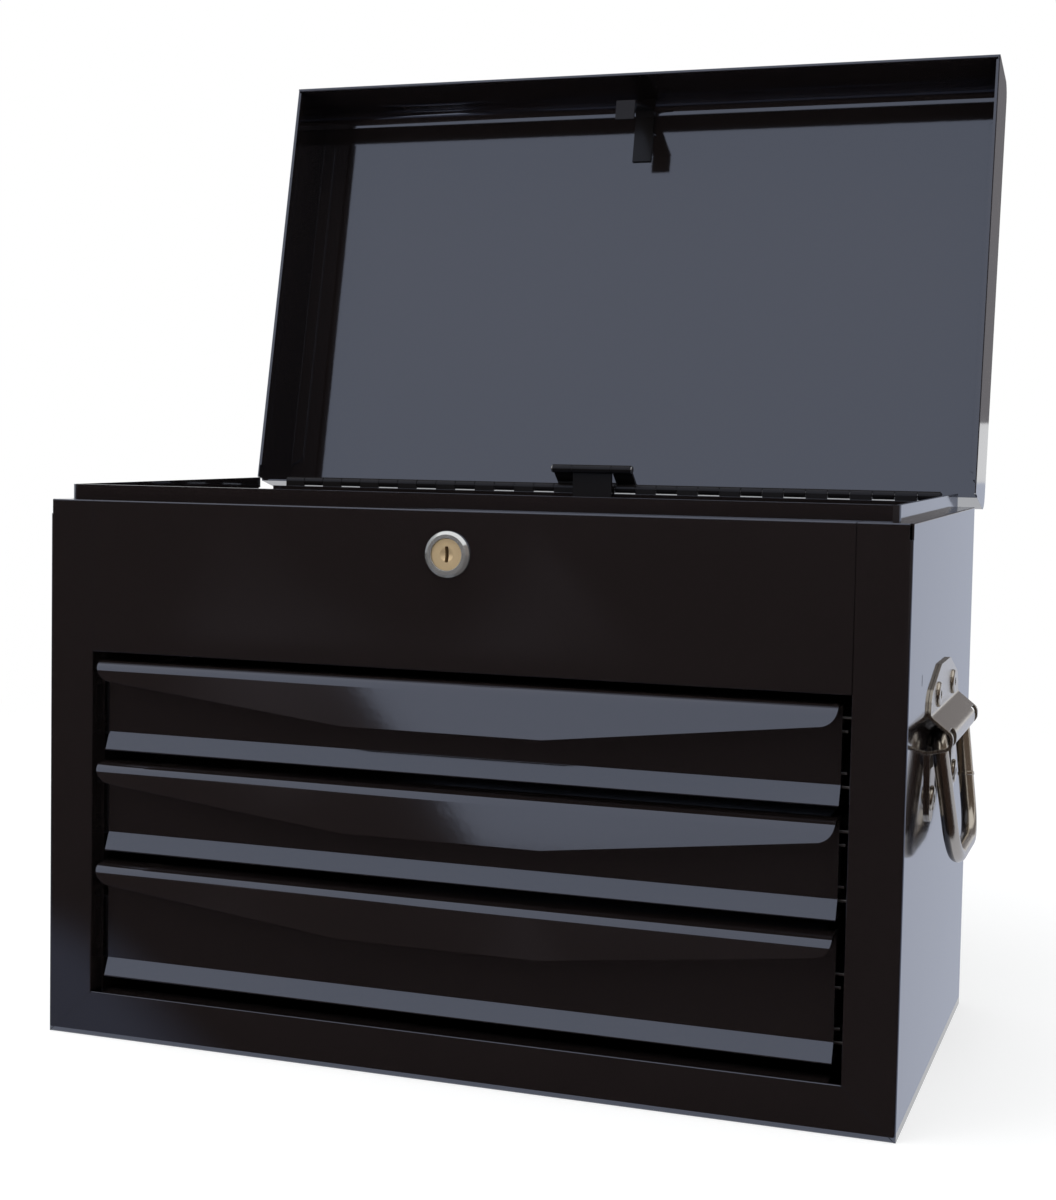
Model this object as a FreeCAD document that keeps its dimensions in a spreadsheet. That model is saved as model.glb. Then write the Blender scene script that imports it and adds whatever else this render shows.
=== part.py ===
import FreeCAD, Part
import math
import os
import Sketcher

# Machinist tool chest, millimetres. X to the right, Y to the back, Z up.
# The origin is the centre of the chest's underside.
# The lid and its fittings are drawn closed and then turned about the hinge to the open angle.

SIZES = [
    # Carcass
    ("body_width", 350.0, "outside width of the carcass"),
    ("body_depth", 206.0, "outside depth of the carcass"),
    ("body_height", 224.0, "height of the ledge that the lid closes on"),
    ("sheet", 0.8, "gauge of the panels"),
    ("seam", 0.15, "gap where two welded panels meet"),
    ("bend_radius", 1.2, "outside radius of the carcass's corners"),
    ("edge_round", 0.5, "outside radius of a tight fold"),
    ("return_end_gap", 5.0, "folds end this far from the stile"),
    ("stile_width", 20.0, "front frame, each side"),
    ("stile_return", 11.0, "depth of the stile's folded edge"),
    ("rail_height", 19.0, "front frame, bottom"),
    ("rail_return", 10.0, "depth of the rail's folded edge"),
    ("pan_flange", 12.0, "upturned edge of the base pan"),
    ("fascia_height", 62.5, "panel above the drawers"),
    ("fascia_return", 10.0, "depth of the fascia's folded edge"),
    ("relief_width", 1.3, "corner relief beside the front bend"),
    ("relief_height", 6.0, "corner relief beside the front bend"),
    ("relief_depth", 1.6, "corner relief, into the panel"),
    ("tab_slot_width", 1.2, "slot in the side panel at the tray's floor"),
    ("tab_slot_height", 4.0, "slot in the side panel at the tray's floor"),
    ("tab_slot_setback", 36.0, "slot's distance behind the front"),
    # Tray
    ("collar_side_inset", 5.8, "tray wall inside the carcass side"),
    ("collar_front_inset", 6.5, "tray wall behind the front"),
    ("collar_height", 6.2, "tray wall above the ledge"),
    ("collar_hem", 5.0, "folded edge at the top of the collar"),
    ("collar_end_gap", 14.0, "low stretch of the side collar at the hinge"),
    ("tray_depth", 64.0, "collar top down to the tray's underside"),
    ("tray_rear_gap", 0.2, "tray's rear wall in front of the hinge leaf"),
    ("tray_corner_radius", 3.0, "vertical corners of the tray"),
    ("bar_slot_play", 1.5, "slot in the tray's floor round the lock bar and its hooks"),
    # Lid
    ("lid_depth", 39.5, "rim to the outside of the top"),
    ("lid_clearance", 1.0, "rim above the ledge when closed"),
    ("lid_side_overhang", 0.5, "lid beyond the carcass side"),
    ("lid_front_overhang", 0.4, "lid beyond the front"),
    ("lid_bend_radius", 8.0, "outside radius between top and skirts"),
    ("lid_hem", 6.0, "folded edge along the rim"),
    ("cap_flange", 7.0, "weld flange of the end cap"),
    ("cap_flange_gap", 15.0, "weld flange's distance from the lid's corners"),
    ("cap_flange_chamfer", 4.0, "cut-off corners of the weld flange"),
    ("open_angle", 103.0, "lid's opening angle, degrees"),
    # Piano hinge
    ("hinge_rise", 4.4, "hinge axis above the ledge"),
    ("knuckle_radius", 2.1, "outside of the rolled knuckles"),
    ("pin_radius", 1.05, "hinge pins"),
    ("pin_clearance", 0.05, "radial running clearance of every hinge pin"),
    ("leaf_gauge", 1.0, "hinge leaf"),
    ("leaf_width", 13.0, "hinge axis to the leaf's edge"),
    ("knuckle_gap", 0.3, "gap between neighbouring knuckles, and above a panel edge"),
    ("hinge_margin", 15.0, "hinge end to the carcass side"),
    # Lock bar and its bracket
    ("link_forward", 7.45, "bar pin in front of the lid's hinge, lid closed"),
    ("link_drop", 8.2, "bar pin below the lid's hinge, lid closed"),
    ("bar_knuckle_radius", 2.0, "outside of the bar's knuckles"),
    ("bar_pin_radius", 1.0, "pin of the lock bar"),
    ("bar_gauge", 1.4, "lock bar"),
    ("bar_width", 19.0, "lock bar"),
    ("bar_end_height", 24.0, "lock bar's lower end, lid open"),
    ("bracket_width", 38.0, "bracket over both outer knuckles"),
    ("bracket_gauge", 1.2, "bracket on the lid"),
    ("bracket_foot", 10.0, "height of the bracket's welded foot"),
    ("bracket_gap", 2.5, "bracket's foot beyond the hinge axis"),
    ("bracket_corner", 3.0, "corners of the bracket's foot"),
    ("arm_lead", 0.2, "bracket's arm in front of the bar's pin"),
    ("arm_lift", 1.7, "bracket's arm above the bar's pin"),
    ("bar_end_radius", 4.0, "lower corners of the lock bar"),
    ("pin_head_radius", 1.7, "riveted ends of the bar pin"),
    ("pin_head_height", 0.8, "riveted ends of the bar pin"),
    ("guide_width", 34.0, "bar guide over its feet"),
    ("guide_height", 5.0, "bar guide"),
    ("guide_gauge", 1.2, "bar guide"),
    ("guide_play", 0.8, "bar guide beside and in front of the bar"),
    ("stop_width", 3.0, "ear on the bar that meets the upper guide"),
    ("stop_height", 5.0, "ear on the bar that meets the upper guide"),
    ("stop_gap", 0.3, "ear below the guide, lid open"),
    ("guide_margin", 3.0, "bar's end below the lower guide, lid open"),
    # Drawers
    ("top_gap", 3.5, "fascia to the upper drawer"),
    ("drawer_gap", 4.2, "between drawer fronts"),
    ("foot_gap", 5.9, "lowest drawer to the bottom rail"),
    ("shallow_front_share", 0.304, "each upper drawer front's share of the height of all three"),
    ("front_side_gap", 4.2, "drawer front to the stile"),
    ("front_recess", 7.0, "drawer face behind the frame"),
    ("lip_reach", 11.0, "pull lip in front of the drawer face"),
    ("lip_radius", 4.5, "outside radius at the top of the lip"),
    ("lip_end_height", 8.0, "lip at its ends"),
    ("lip_mid_height", 19.5, "lip along its middle"),
    ("lip_mid_half", 41.0, "half length of the lip's deep middle"),
    ("lip_corner_radius", 7.0, "lower corners of the lip"),
    ("lip_flare", 2.7, "lip's lower edge in front of its top"),
    ("kick_height", 7.6, "sloping strip along the foot of the front"),
    ("kick_reach", 3.5, "how far the strip comes forward"),
    ("front_return", 12.0, "folded edge under the drawer front"),
    ("side_return", 4.6, "folded edges at the drawer front's ends"),
    ("box_bottom_gap", 4.5, "drawer box above the foot of its front"),
    ("box_top_gap", 5.0, "drawer box below the top of its front"),
    ("box_back_gap", 20.2, "drawer box to the rear panel"),
    ("box_corner_radius", 2.0, "drawer box's corners"),
    ("box_hem", 4.0, "folded top edge of the drawer box"),
    ("catch_rise", 9.0, "catch above the drawer box's underside"),
    ("catch_reach", 7.4, "catch behind the drawer box"),
    ("catch_height", 7.0, "catch's upturned end"),
    ("catch_width", 16.0, "catch across the chest"),
    ("catch_gauge", 1.2, "catch and hooks"),
    ("hook_gap", 0.7, "hook above the catch, lid closed"),
    ("hook_overlap", 4.8, "hook's downturned end below the catch's top, lid closed"),
    ("hook_play", 0.9, "hook's end in front of the catch's end"),
    ("hook_width", 12.0, "hook across the chest"),
    ("drawer_travel", 130.0, "how far a drawer opens"),
    # Ball slides
    ("runner_front", 9.0, "runner panel behind the front"),
    ("runner_end_gap", 3.0, "runner panel to the rear panel"),
    ("runner_foot", 13.0, "runner panel above the floor"),
    ("runner_head", 3.5, "runner panel below the tray"),
    ("runner_lip", 8.0, "runner panel's edge welded to the side"),
    ("slide_thickness", 10.0, "runner panel to the drawer box"),
    ("slide_gauge", 1.0, "slide members"),
    ("slide_flange", 7.3, "outer slide member's flanges"),
    ("slide_curl", 0.95, "curled edge that keeps the balls in"),
    ("inner_flange_start", 2.1, "inner slide member's flanges from the runner panel"),
    ("slide_setback", 13.0, "slide behind the front"),
    ("slide_length", 168.0, "slide member"),
    ("ball_radius", 1.95, "slide's balls"),
    ("ball_play", 0.1, "ball to its race"),
    ("ball_row_height", 10.3, "ball row above or below the slide's middle"),
    ("ball_pitch", 12.0, "balls in a row"),
    ("ball_away", 4.2, "balls' middle from the runner panel"),
    ("cage_length", 36.0, "ball cage"),
    ("cage_gauge", 0.5, "ball cage"),
    ("cage_gap", 0.2, "ball cage to the outer slide member"),
    ("cage_margin", 1.0, "cage inside the slide's end, drawer open"),
    # Lock
    ("lock_drop", 17.0, "lock's axis below the ledge"),
    ("bezel_radius", 9.0, "lock's front flange"),
    ("bezel_height", 2.2, "lock's front flange"),
    ("bezel_chamfer", 1.2, "bevel round the flange"),
    ("lock_radius", 8.0, "lock's body"),
    ("lock_hole_play", 0.15, "lock's body in its hole, radial"),
    ("lock_length", 19.4, "lock's body behind the front"),
    ("plug_radius", 6.2, "turning plug"),
    ("plug_play", 0.08, "plug in the lock's body, radial"),
    ("plug_recess", 0.7, "plug's face below the flange's"),
    ("plug_cone_radius", 2.7, "dished middle of the plug's face"),
    ("plug_cone_depth", 0.9, "dished middle of the plug's face"),
    ("keyway_height", 6.2, "key slot"),
    ("keyway_width", 1.4, "key slot"),
    ("keyway_depth", 11.0, "key slot"),
    ("tail_width", 5.0, "square end of the plug"),
    ("tail_play", 0.1, "cam on the square end"),
    ("cam_gap", 0.3, "cam behind the lock's body"),
    ("cam_gauge", 2.0, "cam"),
    ("cam_hub_radius", 7.0, "cam's round end"),
    ("cam_arm_inner", 5.8, "cam's arm beside the catch's lip"),
    ("cam_arm_width", 5.0, "cam's arm"),
    ("cam_hook_radius", 20.9, "underside of the cam's hook from its axis"),
    ("cam_hook_height", 2.6, "cam's hook"),
    ("cam_hook_length", 8.0, "cam's hook past the lock's axis line"),
    ("screw_radius", 1.5, "cam screw"),
    ("screw_head_radius", 3.6, "cam screw"),
    ("screw_head_height", 1.8, "cam screw"),
    ("screw_length", 5.0, "cam screw"),
    ("nut_across", 21.0, "lock nut, across its flats"),
    ("nut_height", 3.0, "lock nut"),
    ("nut_play", 0.1, "lock nut on the lock's body, radial"),
    ("cam_corner", 1.2, "cam's outer corners"),
    # Lid catch
    ("strike_width", 9.4, "lid catch across the chest"),
    ("strike_gauge", 1.2, "lid catch"),
    ("strike_strap", 27.4, "lid catch's strap along the lid's top"),
    ("strike_setback", 3.5, "strap's bend behind the front skirt's inside"),
    ("strike_lip_setback", 18.4, "lip's front edge behind the chest's front"),
    ("strike_lip", 9.6, "lip, front to back"),
    ("strike_lift", 0.6, "lip above the lid's rim"),
    ("strike_bend", 3.6, "bend between strap and leg"),
    ("strike_hole", 1.2, "hole in the leg, radius"),
    # Side handles
    ("handle_height", 139.5, "bail's axis above the floor"),
    ("wire_radius", 3.1, "bail's wire"),
    ("wire_play", 0.35, "bail's wire to the bracket and the side"),
    ("plate_gauge", 1.2, "handle bracket"),
    ("hood_half", 46.0, "half length of the bracket's hood"),
    ("hood_slot_inner", 33.5, "slot for the bail's leg, from the middle"),
    ("hood_slot_outer", 43.5, "slot for the bail's leg, from the middle"),
    ("hood_rise", 9.8, "hood's slope meets the side this far above the axis"),
    ("hood_shoulder", 2.2, "hood's upper bend above the axis"),
    ("hood_chin", 3.9, "hood's lower bend below the axis"),
    ("hood_fall", 6.0, "hood's floor meets the side this far below the axis"),
    ("hood_nose", 8.4, "hood's inside from the side panel"),
    ("hood_bend", 3.8, "outside radius of the hood's two bends"),
    ("hood_neck", 2.0, "fillet between the hood and its ears"),
    ("slot_drop", 12.0, "foot of the leg's slot below the axis"),
    ("ear_corner", 9.0, "rounding of the upper ear's corners"),
    ("ear_height", 26.0, "upper ear's peak above the axis"),
    ("ear_shoulder", 16.5, "upper ear's shoulders above the axis"),
    ("ear_peak_half", 15.0, "upper ear's half length at its peak"),
    ("foot_drop", 33.0, "lower ears' tips below the axis"),
    ("foot_inner", 25.0, "lower ear's inner edge, from the middle"),
    ("foot_tip_half", 5.5, "lower ear's half width at its tip"),
    ("ear_rivet_rise", 15.0, "upper rivets above the axis"),
    ("ear_rivet_half", 24.0, "upper rivets from the middle"),
    ("foot_rivet_drop", 24.0, "lower rivets below the axis"),
    ("foot_rivet_half", 36.5, "lower rivets from the middle"),
    ("rivet_radius", 2.0, "rivet shank"),
    ("rivet_play", 0.1, "rivet in its hole, radial"),
    ("rivet_head_radius", 5.0, "rivet head"),
    ("rivet_head_height", 1.2, "rivet head"),
    ("rivet_dimple_radius", 1.7, "hollow in the middle of a rivet head"),
    ("rivet_dimple_depth", 0.8, "hollow in the middle of a rivet head"),
    ("rivet_tail_radius", 3.0, "rivet's closed end inside the chest"),
    ("rivet_tail_height", 0.9, "rivet's closed end inside the chest"),
    ("bail_drop", 49.2, "bail's grip below its axis"),
    ("bail_top_half", 39.0, "bail's legs from the middle, at the axis"),
    ("bail_foot_half", 30.0, "bail's legs from the middle, at the grip"),
    ("bail_top_bend", 5.5, "bail's upper corners, to the wire's middle"),
    ("bail_foot_bend", 17.0, "bail's lower corners, to the wire's middle"),
    ("bail_tilt", 7.5, "bail's lean away from the side at rest, degrees"),
    ("weld_bead_height", 1.4, "butt weld on the bail's leg"),
    ("weld_bead_proud", 0.25, "butt weld on the bail's leg"),
    # Cutting tools run past the surface by this much
    ("overrun", 1.0, "run of a cut past the surface"),
]

doc = FreeCAD.newDocument("tool_chest")
sheet = doc.addObject("Spreadsheet::Sheet", "sizes")
for row, (alias, number, note) in enumerate(SIZES, start=1):
    sheet.set("A%d" % row, alias)
    sheet.set("B%d" % row, str(number))
    sheet.set("C%d" % row, note)
    sheet.setAlias("B%d" % row, alias)
doc.recompute()


class Size:
    """A length with the sheet expression that gives it."""

    def __init__(self, value, text):
        self.value = value
        self.text = text

    def __add__(self, other):
        other = as_size(other)
        return Size(self.value + other.value, "(%s + %s)" % (self.text, other.text))

    def __sub__(self, other):
        other = as_size(other)
        return Size(self.value - other.value, "(%s - %s)" % (self.text, other.text))

    def __mul__(self, other):
        other = as_size(other)
        return Size(self.value * other.value, "(%s * %s)" % (self.text, other.text))

    def __truediv__(self, other):
        other = as_size(other)
        return Size(self.value / other.value, "(%s / %s)" % (self.text, other.text))

    def __neg__(self):
        return Size(-self.value, "(0 - %s)" % self.text)

    __radd__ = __add__
    __rmul__ = __mul__

    def __rsub__(self, other):
        return as_size(other) - self


def as_size(number):
    """A plain number as a Size."""
    if isinstance(number, Size):
        return number
    return Size(float(number), "%.9g" % number)


class Sizes:
    """The sheet's cells by name."""

    def __getattr__(self, alias):
        return Size(float(sheet.get(alias)), "sizes." + alias)


S = Sizes()
PARTS = {}
PLANES = {"top": "XY_Plane", "front": "XZ_Plane", "side": "YZ_Plane"}


def bind(thing, name, size):
    """Ties a property to the sheet."""
    size = as_size(size)
    thing.setExpression(name, size.text)


def origin_part(body, role):
    """One of the body's own origin planes or axes."""
    return [f for f in body.Origin.OriginFeatures if f.Role == role][0]


def new_body(label):
    """An empty body, listed for export under its label."""
    body = doc.addObject("PartDesign::Body", label)
    body.Label = label
    PARTS[label] = body
    return body


def add_point_sizes(sketch, index, place):
    """Ties a line's first point to the sheet, in both directions."""
    for kind, size in zip(("DistanceX", "DistanceY"), place):
        number = sketch.addConstraint(Sketcher.Constraint(kind, -1, 1, index, 1, size.value))
        sketch.setExpression("Constraints[%d]" % number, size.text)


def add_loop(sketch, places):
    """A closed outline whose corners are all tied to the sheet."""
    places = [(as_size(u), as_size(v)) for u, v in places]
    first = sketch.GeometryCount
    count = len(places)
    corners = [FreeCAD.Vector(u.value, v.value, 0) for u, v in places]
    for i in range(count):
        sketch.addGeometry(Part.LineSegment(corners[i], corners[(i + 1) % count]), False)
    for i in range(count):
        sketch.addConstraint(Sketcher.Constraint("Coincident", first + i, 2, first + (i + 1) % count, 1))
    for i, place in enumerate(places):
        add_point_sizes(sketch, first + i, place)


def add_circle(sketch, u, v, radius):
    """A circle whose middle and radius are tied to the sheet."""
    u, v, radius = as_size(u), as_size(v), as_size(radius)
    circle = Part.Circle(FreeCAD.Vector(u.value, v.value, 0), FreeCAD.Vector(0, 0, 1), radius.value)
    index = sketch.addGeometry(circle, False)
    for kind, size in zip(("DistanceX", "DistanceY"), (u, v)):
        number = sketch.addConstraint(Sketcher.Constraint(kind, -1, 1, index, 3, size.value))
        sketch.setExpression("Constraints[%d]" % number, size.text)
    number = sketch.addConstraint(Sketcher.Constraint("Radius", index, radius.value))
    sketch.setExpression("Constraints[%d]" % number, radius.text)


def box_loop(u0, u1, v0, v1):
    """Corners of a rectangle."""
    return [(u0, v0), (u1, v0), (u1, v1), (u0, v1)]


def new_sketch(body, plane, level, loops, circles):
    """A sketch on one of the body's origin planes, moved to a level along its axis."""
    sketch = body.newObject("Sketcher::SketchObject", body.Label + "_sketch")
    sketch.AttachmentSupport = (origin_part(body, PLANES[plane]), "")
    sketch.MapMode = "FlatFace"
    for loop in loops:
        add_loop(sketch, loop)
    for circle in circles:
        add_circle(sketch, *circle)
    level = as_size(level)
    if plane == "front":
        level = -level
    bind(sketch, "AttachmentOffset.Base.z", level)
    return sketch


def add(body, plane, low, high, loops=(), circles=()):
    """Material from low to high along the plane's axis."""
    low, high = as_size(low), as_size(high)
    sketch = new_sketch(body, plane, low, loops, circles)
    pad = body.newObject("PartDesign::Pad", body.Label + "_pad")
    pad.Profile = sketch
    pad.Reversed = plane == "front"
    bind(pad, "Length", high - low)
    doc.recompute()
    return pad


def cut(body, plane, low, high, loops=(), circles=()):
    """A pocket from low to high along the plane's axis, which has to take material away."""
    low, high = as_size(low), as_size(high)
    before = body.Shape.Volume
    sketch = new_sketch(body, plane, low if plane == "front" else high, loops, circles)
    pocket = body.newObject("PartDesign::Pocket", body.Label + "_pocket")
    pocket.Profile = sketch
    bind(pocket, "Length", high - low)
    doc.recompute()
    if body.Shape.Volume > before - 1e-6 * before:
        print("cut takes nothing away:", body.Label, round(before, 3), round(body.Shape.Volume, 3))
    return pocket


def edge_names(shape, test):
    """Names of the edges whose middle and direction pass the test."""
    names = []
    for i, edge in enumerate(shape.Edges, start=1):
        if not isinstance(edge.Curve, (Part.Line, Part.LineSegment)):
            continue
        ends = [v.Point for v in edge.Vertexes]
        if len(ends) == 2 and test(edge.CenterOfMass, ends[1] - ends[0]):
            names.append("Edge%d" % i)
    return names


def near(number, size):
    """Whether a coordinate is at a size."""
    return abs(number - as_size(size).value) < 1e-3


def along(run, axis):
    """Whether an edge runs along an axis, 0 for X, 1 for Y and 2 for Z."""
    return all(abs(run[i]) < 1e-6 for i in range(3) if i != axis)


def round_edges(body, radius, test):
    """Rounds the edges of the last feature that pass the test."""
    names = edge_names(body.Shape, test)
    if not names:
        print("no edge to round:", body.Label)
        return None
    last = body.Tip
    fillet = body.newObject("PartDesign::Fillet", body.Label + "_fillet")
    fillet.Base = (last, names)
    bind(fillet, "Radius", radius)
    doc.recompute()
    return fillet


def pattern(body, features, axis, spacing, count):
    """Copies features along one of the body's axes."""
    copies = body.newObject("PartDesign::LinearPattern", body.Label + "_pattern")
    copies.Originals = features
    copies.Direction = (origin_part(body, axis), [""])
    bind(copies, "Length", spacing * (count - 1))
    copies.Occurrences = count
    body.Tip = copies
    doc.recompute()
    return copies


HALF_WIDTH = S.body_width / 2
HALF_DEPTH = S.body_depth / 2
OPEN_HALF = HALF_WIDTH - S.stile_width


def root_of(size):
    """Square root of a size."""
    size = as_size(size)
    return Size(math.sqrt(size.value), "sqrt(%s)" % size.text)


def sine_of(size):
    """Sine of an angle in degrees."""
    size = as_size(size)
    return Size(math.sin(math.radians(size.value)), "sin(%s)" % size.text)


def cosine_of(size):
    """Cosine of an angle in degrees."""
    size = as_size(size)
    return Size(math.cos(math.radians(size.value)), "cos(%s)" % size.text)


def turned(place, middle, angle):
    """A place in the Y and Z plane turned about a middle; positive angles lower the front."""
    ahead = place[0] - middle[0]
    above = place[1] - middle[1]
    across = middle[0] + ahead * cosine_of(angle) - above * sine_of(angle)
    height = middle[1] + ahead * sine_of(angle) + above * cosine_of(angle)
    return across, height


def swing(thing, middle, angle):
    """Turns a part about an axis along X through the middle, by the sheet's angle."""
    about_x = FreeCAD.Rotation(FreeCAD.Vector(1, 0, 0), 1)
    thing.Placement = FreeCAD.Placement(FreeCAD.Vector(0, 0, 0), about_x)
    across, height = turned((as_size(0), as_size(0)), middle, angle)
    thing.setExpression("Placement.Rotation.Angle", angle.text)
    thing.setExpression("Placement.Base.y", across.text)
    thing.setExpression("Placement.Base.z", height.text)
    doc.recompute()


def side_span(side, low, high):
    """A stretch along X on the right for side 1, or mirrored on the left for side -1."""
    if side > 0:
        return as_size(low), as_size(high)
    return -as_size(high), -as_size(low)


def side_loop(side, places):
    """An outline drawn for the right and mirrored for the left."""
    if side > 0:
        return places
    return [(-as_size(u), v) for u, v in places]


def both_sides(places):
    """An outline on the right and its mirror image on the left."""
    return [side_loop(1, places), side_loop(-1, places)]


def box_part(body, across, depth, height):
    """A plain block of material between three pairs of levels."""
    return add(body, "top", height[0], height[1], [box_loop(across[0], across[1], depth[0], depth[1])])


def box_cut(body, across, depth, height):
    """A block taken away between three pairs of levels."""
    return cut(body, "top", height[0], height[1], [box_loop(across[0], across[1], depth[0], depth[1])])


def round_rings(body, radius, test):
    """Rounds the circular edges of the last feature that pass the test."""
    names = []
    for i, edge in enumerate(body.Shape.Edges, start=1):
        if isinstance(edge.Curve, Part.Circle) and test(edge.CenterOfMass, edge.Curve.Radius):
            names.append("Edge%d" % i)
    if not names:
        print("no ring to round:", body.Label)
        return None
    last = body.Tip
    fillet = body.newObject("PartDesign::Fillet", body.Label + "_fillet")
    fillet.Base = (last, names)
    bind(fillet, "Radius", radius)
    doc.recompute()
    return fillet


def turn(body, height, loop, kind):
    """A profile of (Y, radius) places turned about an axis along Y at a height."""
    sketch = body.newObject("Sketcher::SketchObject", body.Label + "_sketch")
    sketch.AttachmentSupport = (origin_part(body, "YZ_Plane"), "")
    sketch.MapMode = "FlatFace"
    add_loop(sketch, loop)
    bind(sketch, "AttachmentOffset.Base.y", height)
    feature = body.newObject("PartDesign::" + kind, body.Label + "_" + kind.lower())
    feature.Profile = sketch
    feature.ReferenceAxis = (sketch, ["H_Axis"])
    feature.Angle = 360
    doc.recompute()
    return feature


INNER_HALF = HALF_WIDTH - S.sheet
INNER_BACK = HALF_DEPTH - S.sheet
FRONT = -HALF_DEPTH
FRONT_INNER = FRONT + S.sheet
FASCIA_FOOT = S.body_height - S.fascia_height
COLLAR_TOP = S.body_height + S.collar_height
TRAY_HALF = HALF_WIDTH - S.collar_side_inset
TRAY_FRONT = FRONT + S.collar_front_inset
TRAY_FOOT = COLLAR_TOP - S.tray_depth
HINGE = (INNER_BACK - S.leaf_gauge + S.knuckle_radius, S.body_height + S.hinge_rise)
HINGE_HALF = HALF_WIDTH - S.hinge_margin
LEAF_FRONT = INNER_BACK - S.leaf_gauge
TRAY_BACK = LEAF_FRONT - S.tray_rear_gap
KNUCKLE_FOOT = HINGE[1] - S.knuckle_radius - S.knuckle_gap
KNUCKLE_HEAD = HINGE[1] + S.knuckle_radius + S.knuckle_gap
OPENING = -S.open_angle
LOCK_Z = S.body_height - S.lock_drop
RUNNER_HALF = OPEN_HALF - S.sheet
BOX_HALF = RUNNER_HALF - S.slide_thickness
RUNNER_TOP = TRAY_FOOT - S.runner_head
FACE_Y = FRONT + S.front_recess
LIP_Y = FACE_Y - S.lip_reach
FRONT_HALF = OPEN_HALF - S.front_side_gap
BOX_FRONT = FACE_Y + S.sheet
BOX_BACK = INNER_BACK - S.box_back_gap
HINGE_PAIRS = 16

DRAWER_TOPS = [FASCIA_FOOT - S.top_gap]
FRONTS_HEIGHT = DRAWER_TOPS[0] - S.rail_height - S.foot_gap - S.drawer_gap - S.drawer_gap
SHALLOW_FRONT = FRONTS_HEIGHT * S.shallow_front_share
DRAWER_TOPS.append(DRAWER_TOPS[0] - SHALLOW_FRONT - S.drawer_gap)
DRAWER_TOPS.append(DRAWER_TOPS[1] - SHALLOW_FRONT - S.drawer_gap)
DRAWER_FEET = [DRAWER_TOPS[0] - SHALLOW_FRONT, DRAWER_TOPS[1] - SHALLOW_FRONT]
DRAWER_FEET.append(S.rail_height + S.foot_gap)
BOX_FEET = [foot + S.box_bottom_gap for foot in DRAWER_FEET]
BOX_TOPS = [top - S.box_top_gap for top in DRAWER_TOPS]
SLIDE_RISE = (SHALLOW_FRONT - S.box_bottom_gap - S.box_top_gap) / 2
SLIDE_MIDDLES = [foot + SLIDE_RISE for foot in BOX_FEET]

# The lock bar's pin with the lid closed and open, and how far that carries the bar.
PIN_CLOSED = (HINGE[0] - S.link_forward, HINGE[1] - S.link_drop)
PIN_OPEN = turned(PIN_CLOSED, HINGE, OPENING)
BAR_RISE = PIN_OPEN[1] - PIN_CLOSED[1]
BAR_SHIFT = PIN_OPEN[0] - PIN_CLOSED[0]
LINK_LENGTH = root_of(S.link_forward * S.link_forward + S.link_drop * S.link_drop)
STRIP_BACK = S.bar_knuckle_radius
STRIP_FRONT = S.bar_knuckle_radius - S.bar_gauge
CATCH_FOOT = [foot + S.catch_rise for foot in BOX_FEET]
CATCH_TOPS = [foot + S.catch_height for foot in CATCH_FOOT]
CATCH_BACK = BOX_BACK + S.catch_reach
HOOK_FRONT = CATCH_BACK - S.catch_gauge - S.hook_play - S.catch_gauge
GUIDE_BACK_OF_STRAP = HINGE[0] - LINK_LENGTH + STRIP_FRONT - S.guide_play
LOWER_GUIDE = S.bar_end_height + S.guide_margin
HOOK_UNDERS = [top + S.hook_gap for top in CATCH_TOPS]
HOOK_ENDS = [top - S.hook_overlap for top in CATCH_TOPS]
UPPER_GUIDE = (HOOK_UNDERS[1] + S.catch_gauge + BAR_RISE + HOOK_ENDS[0] - S.guide_height) / 2


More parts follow.
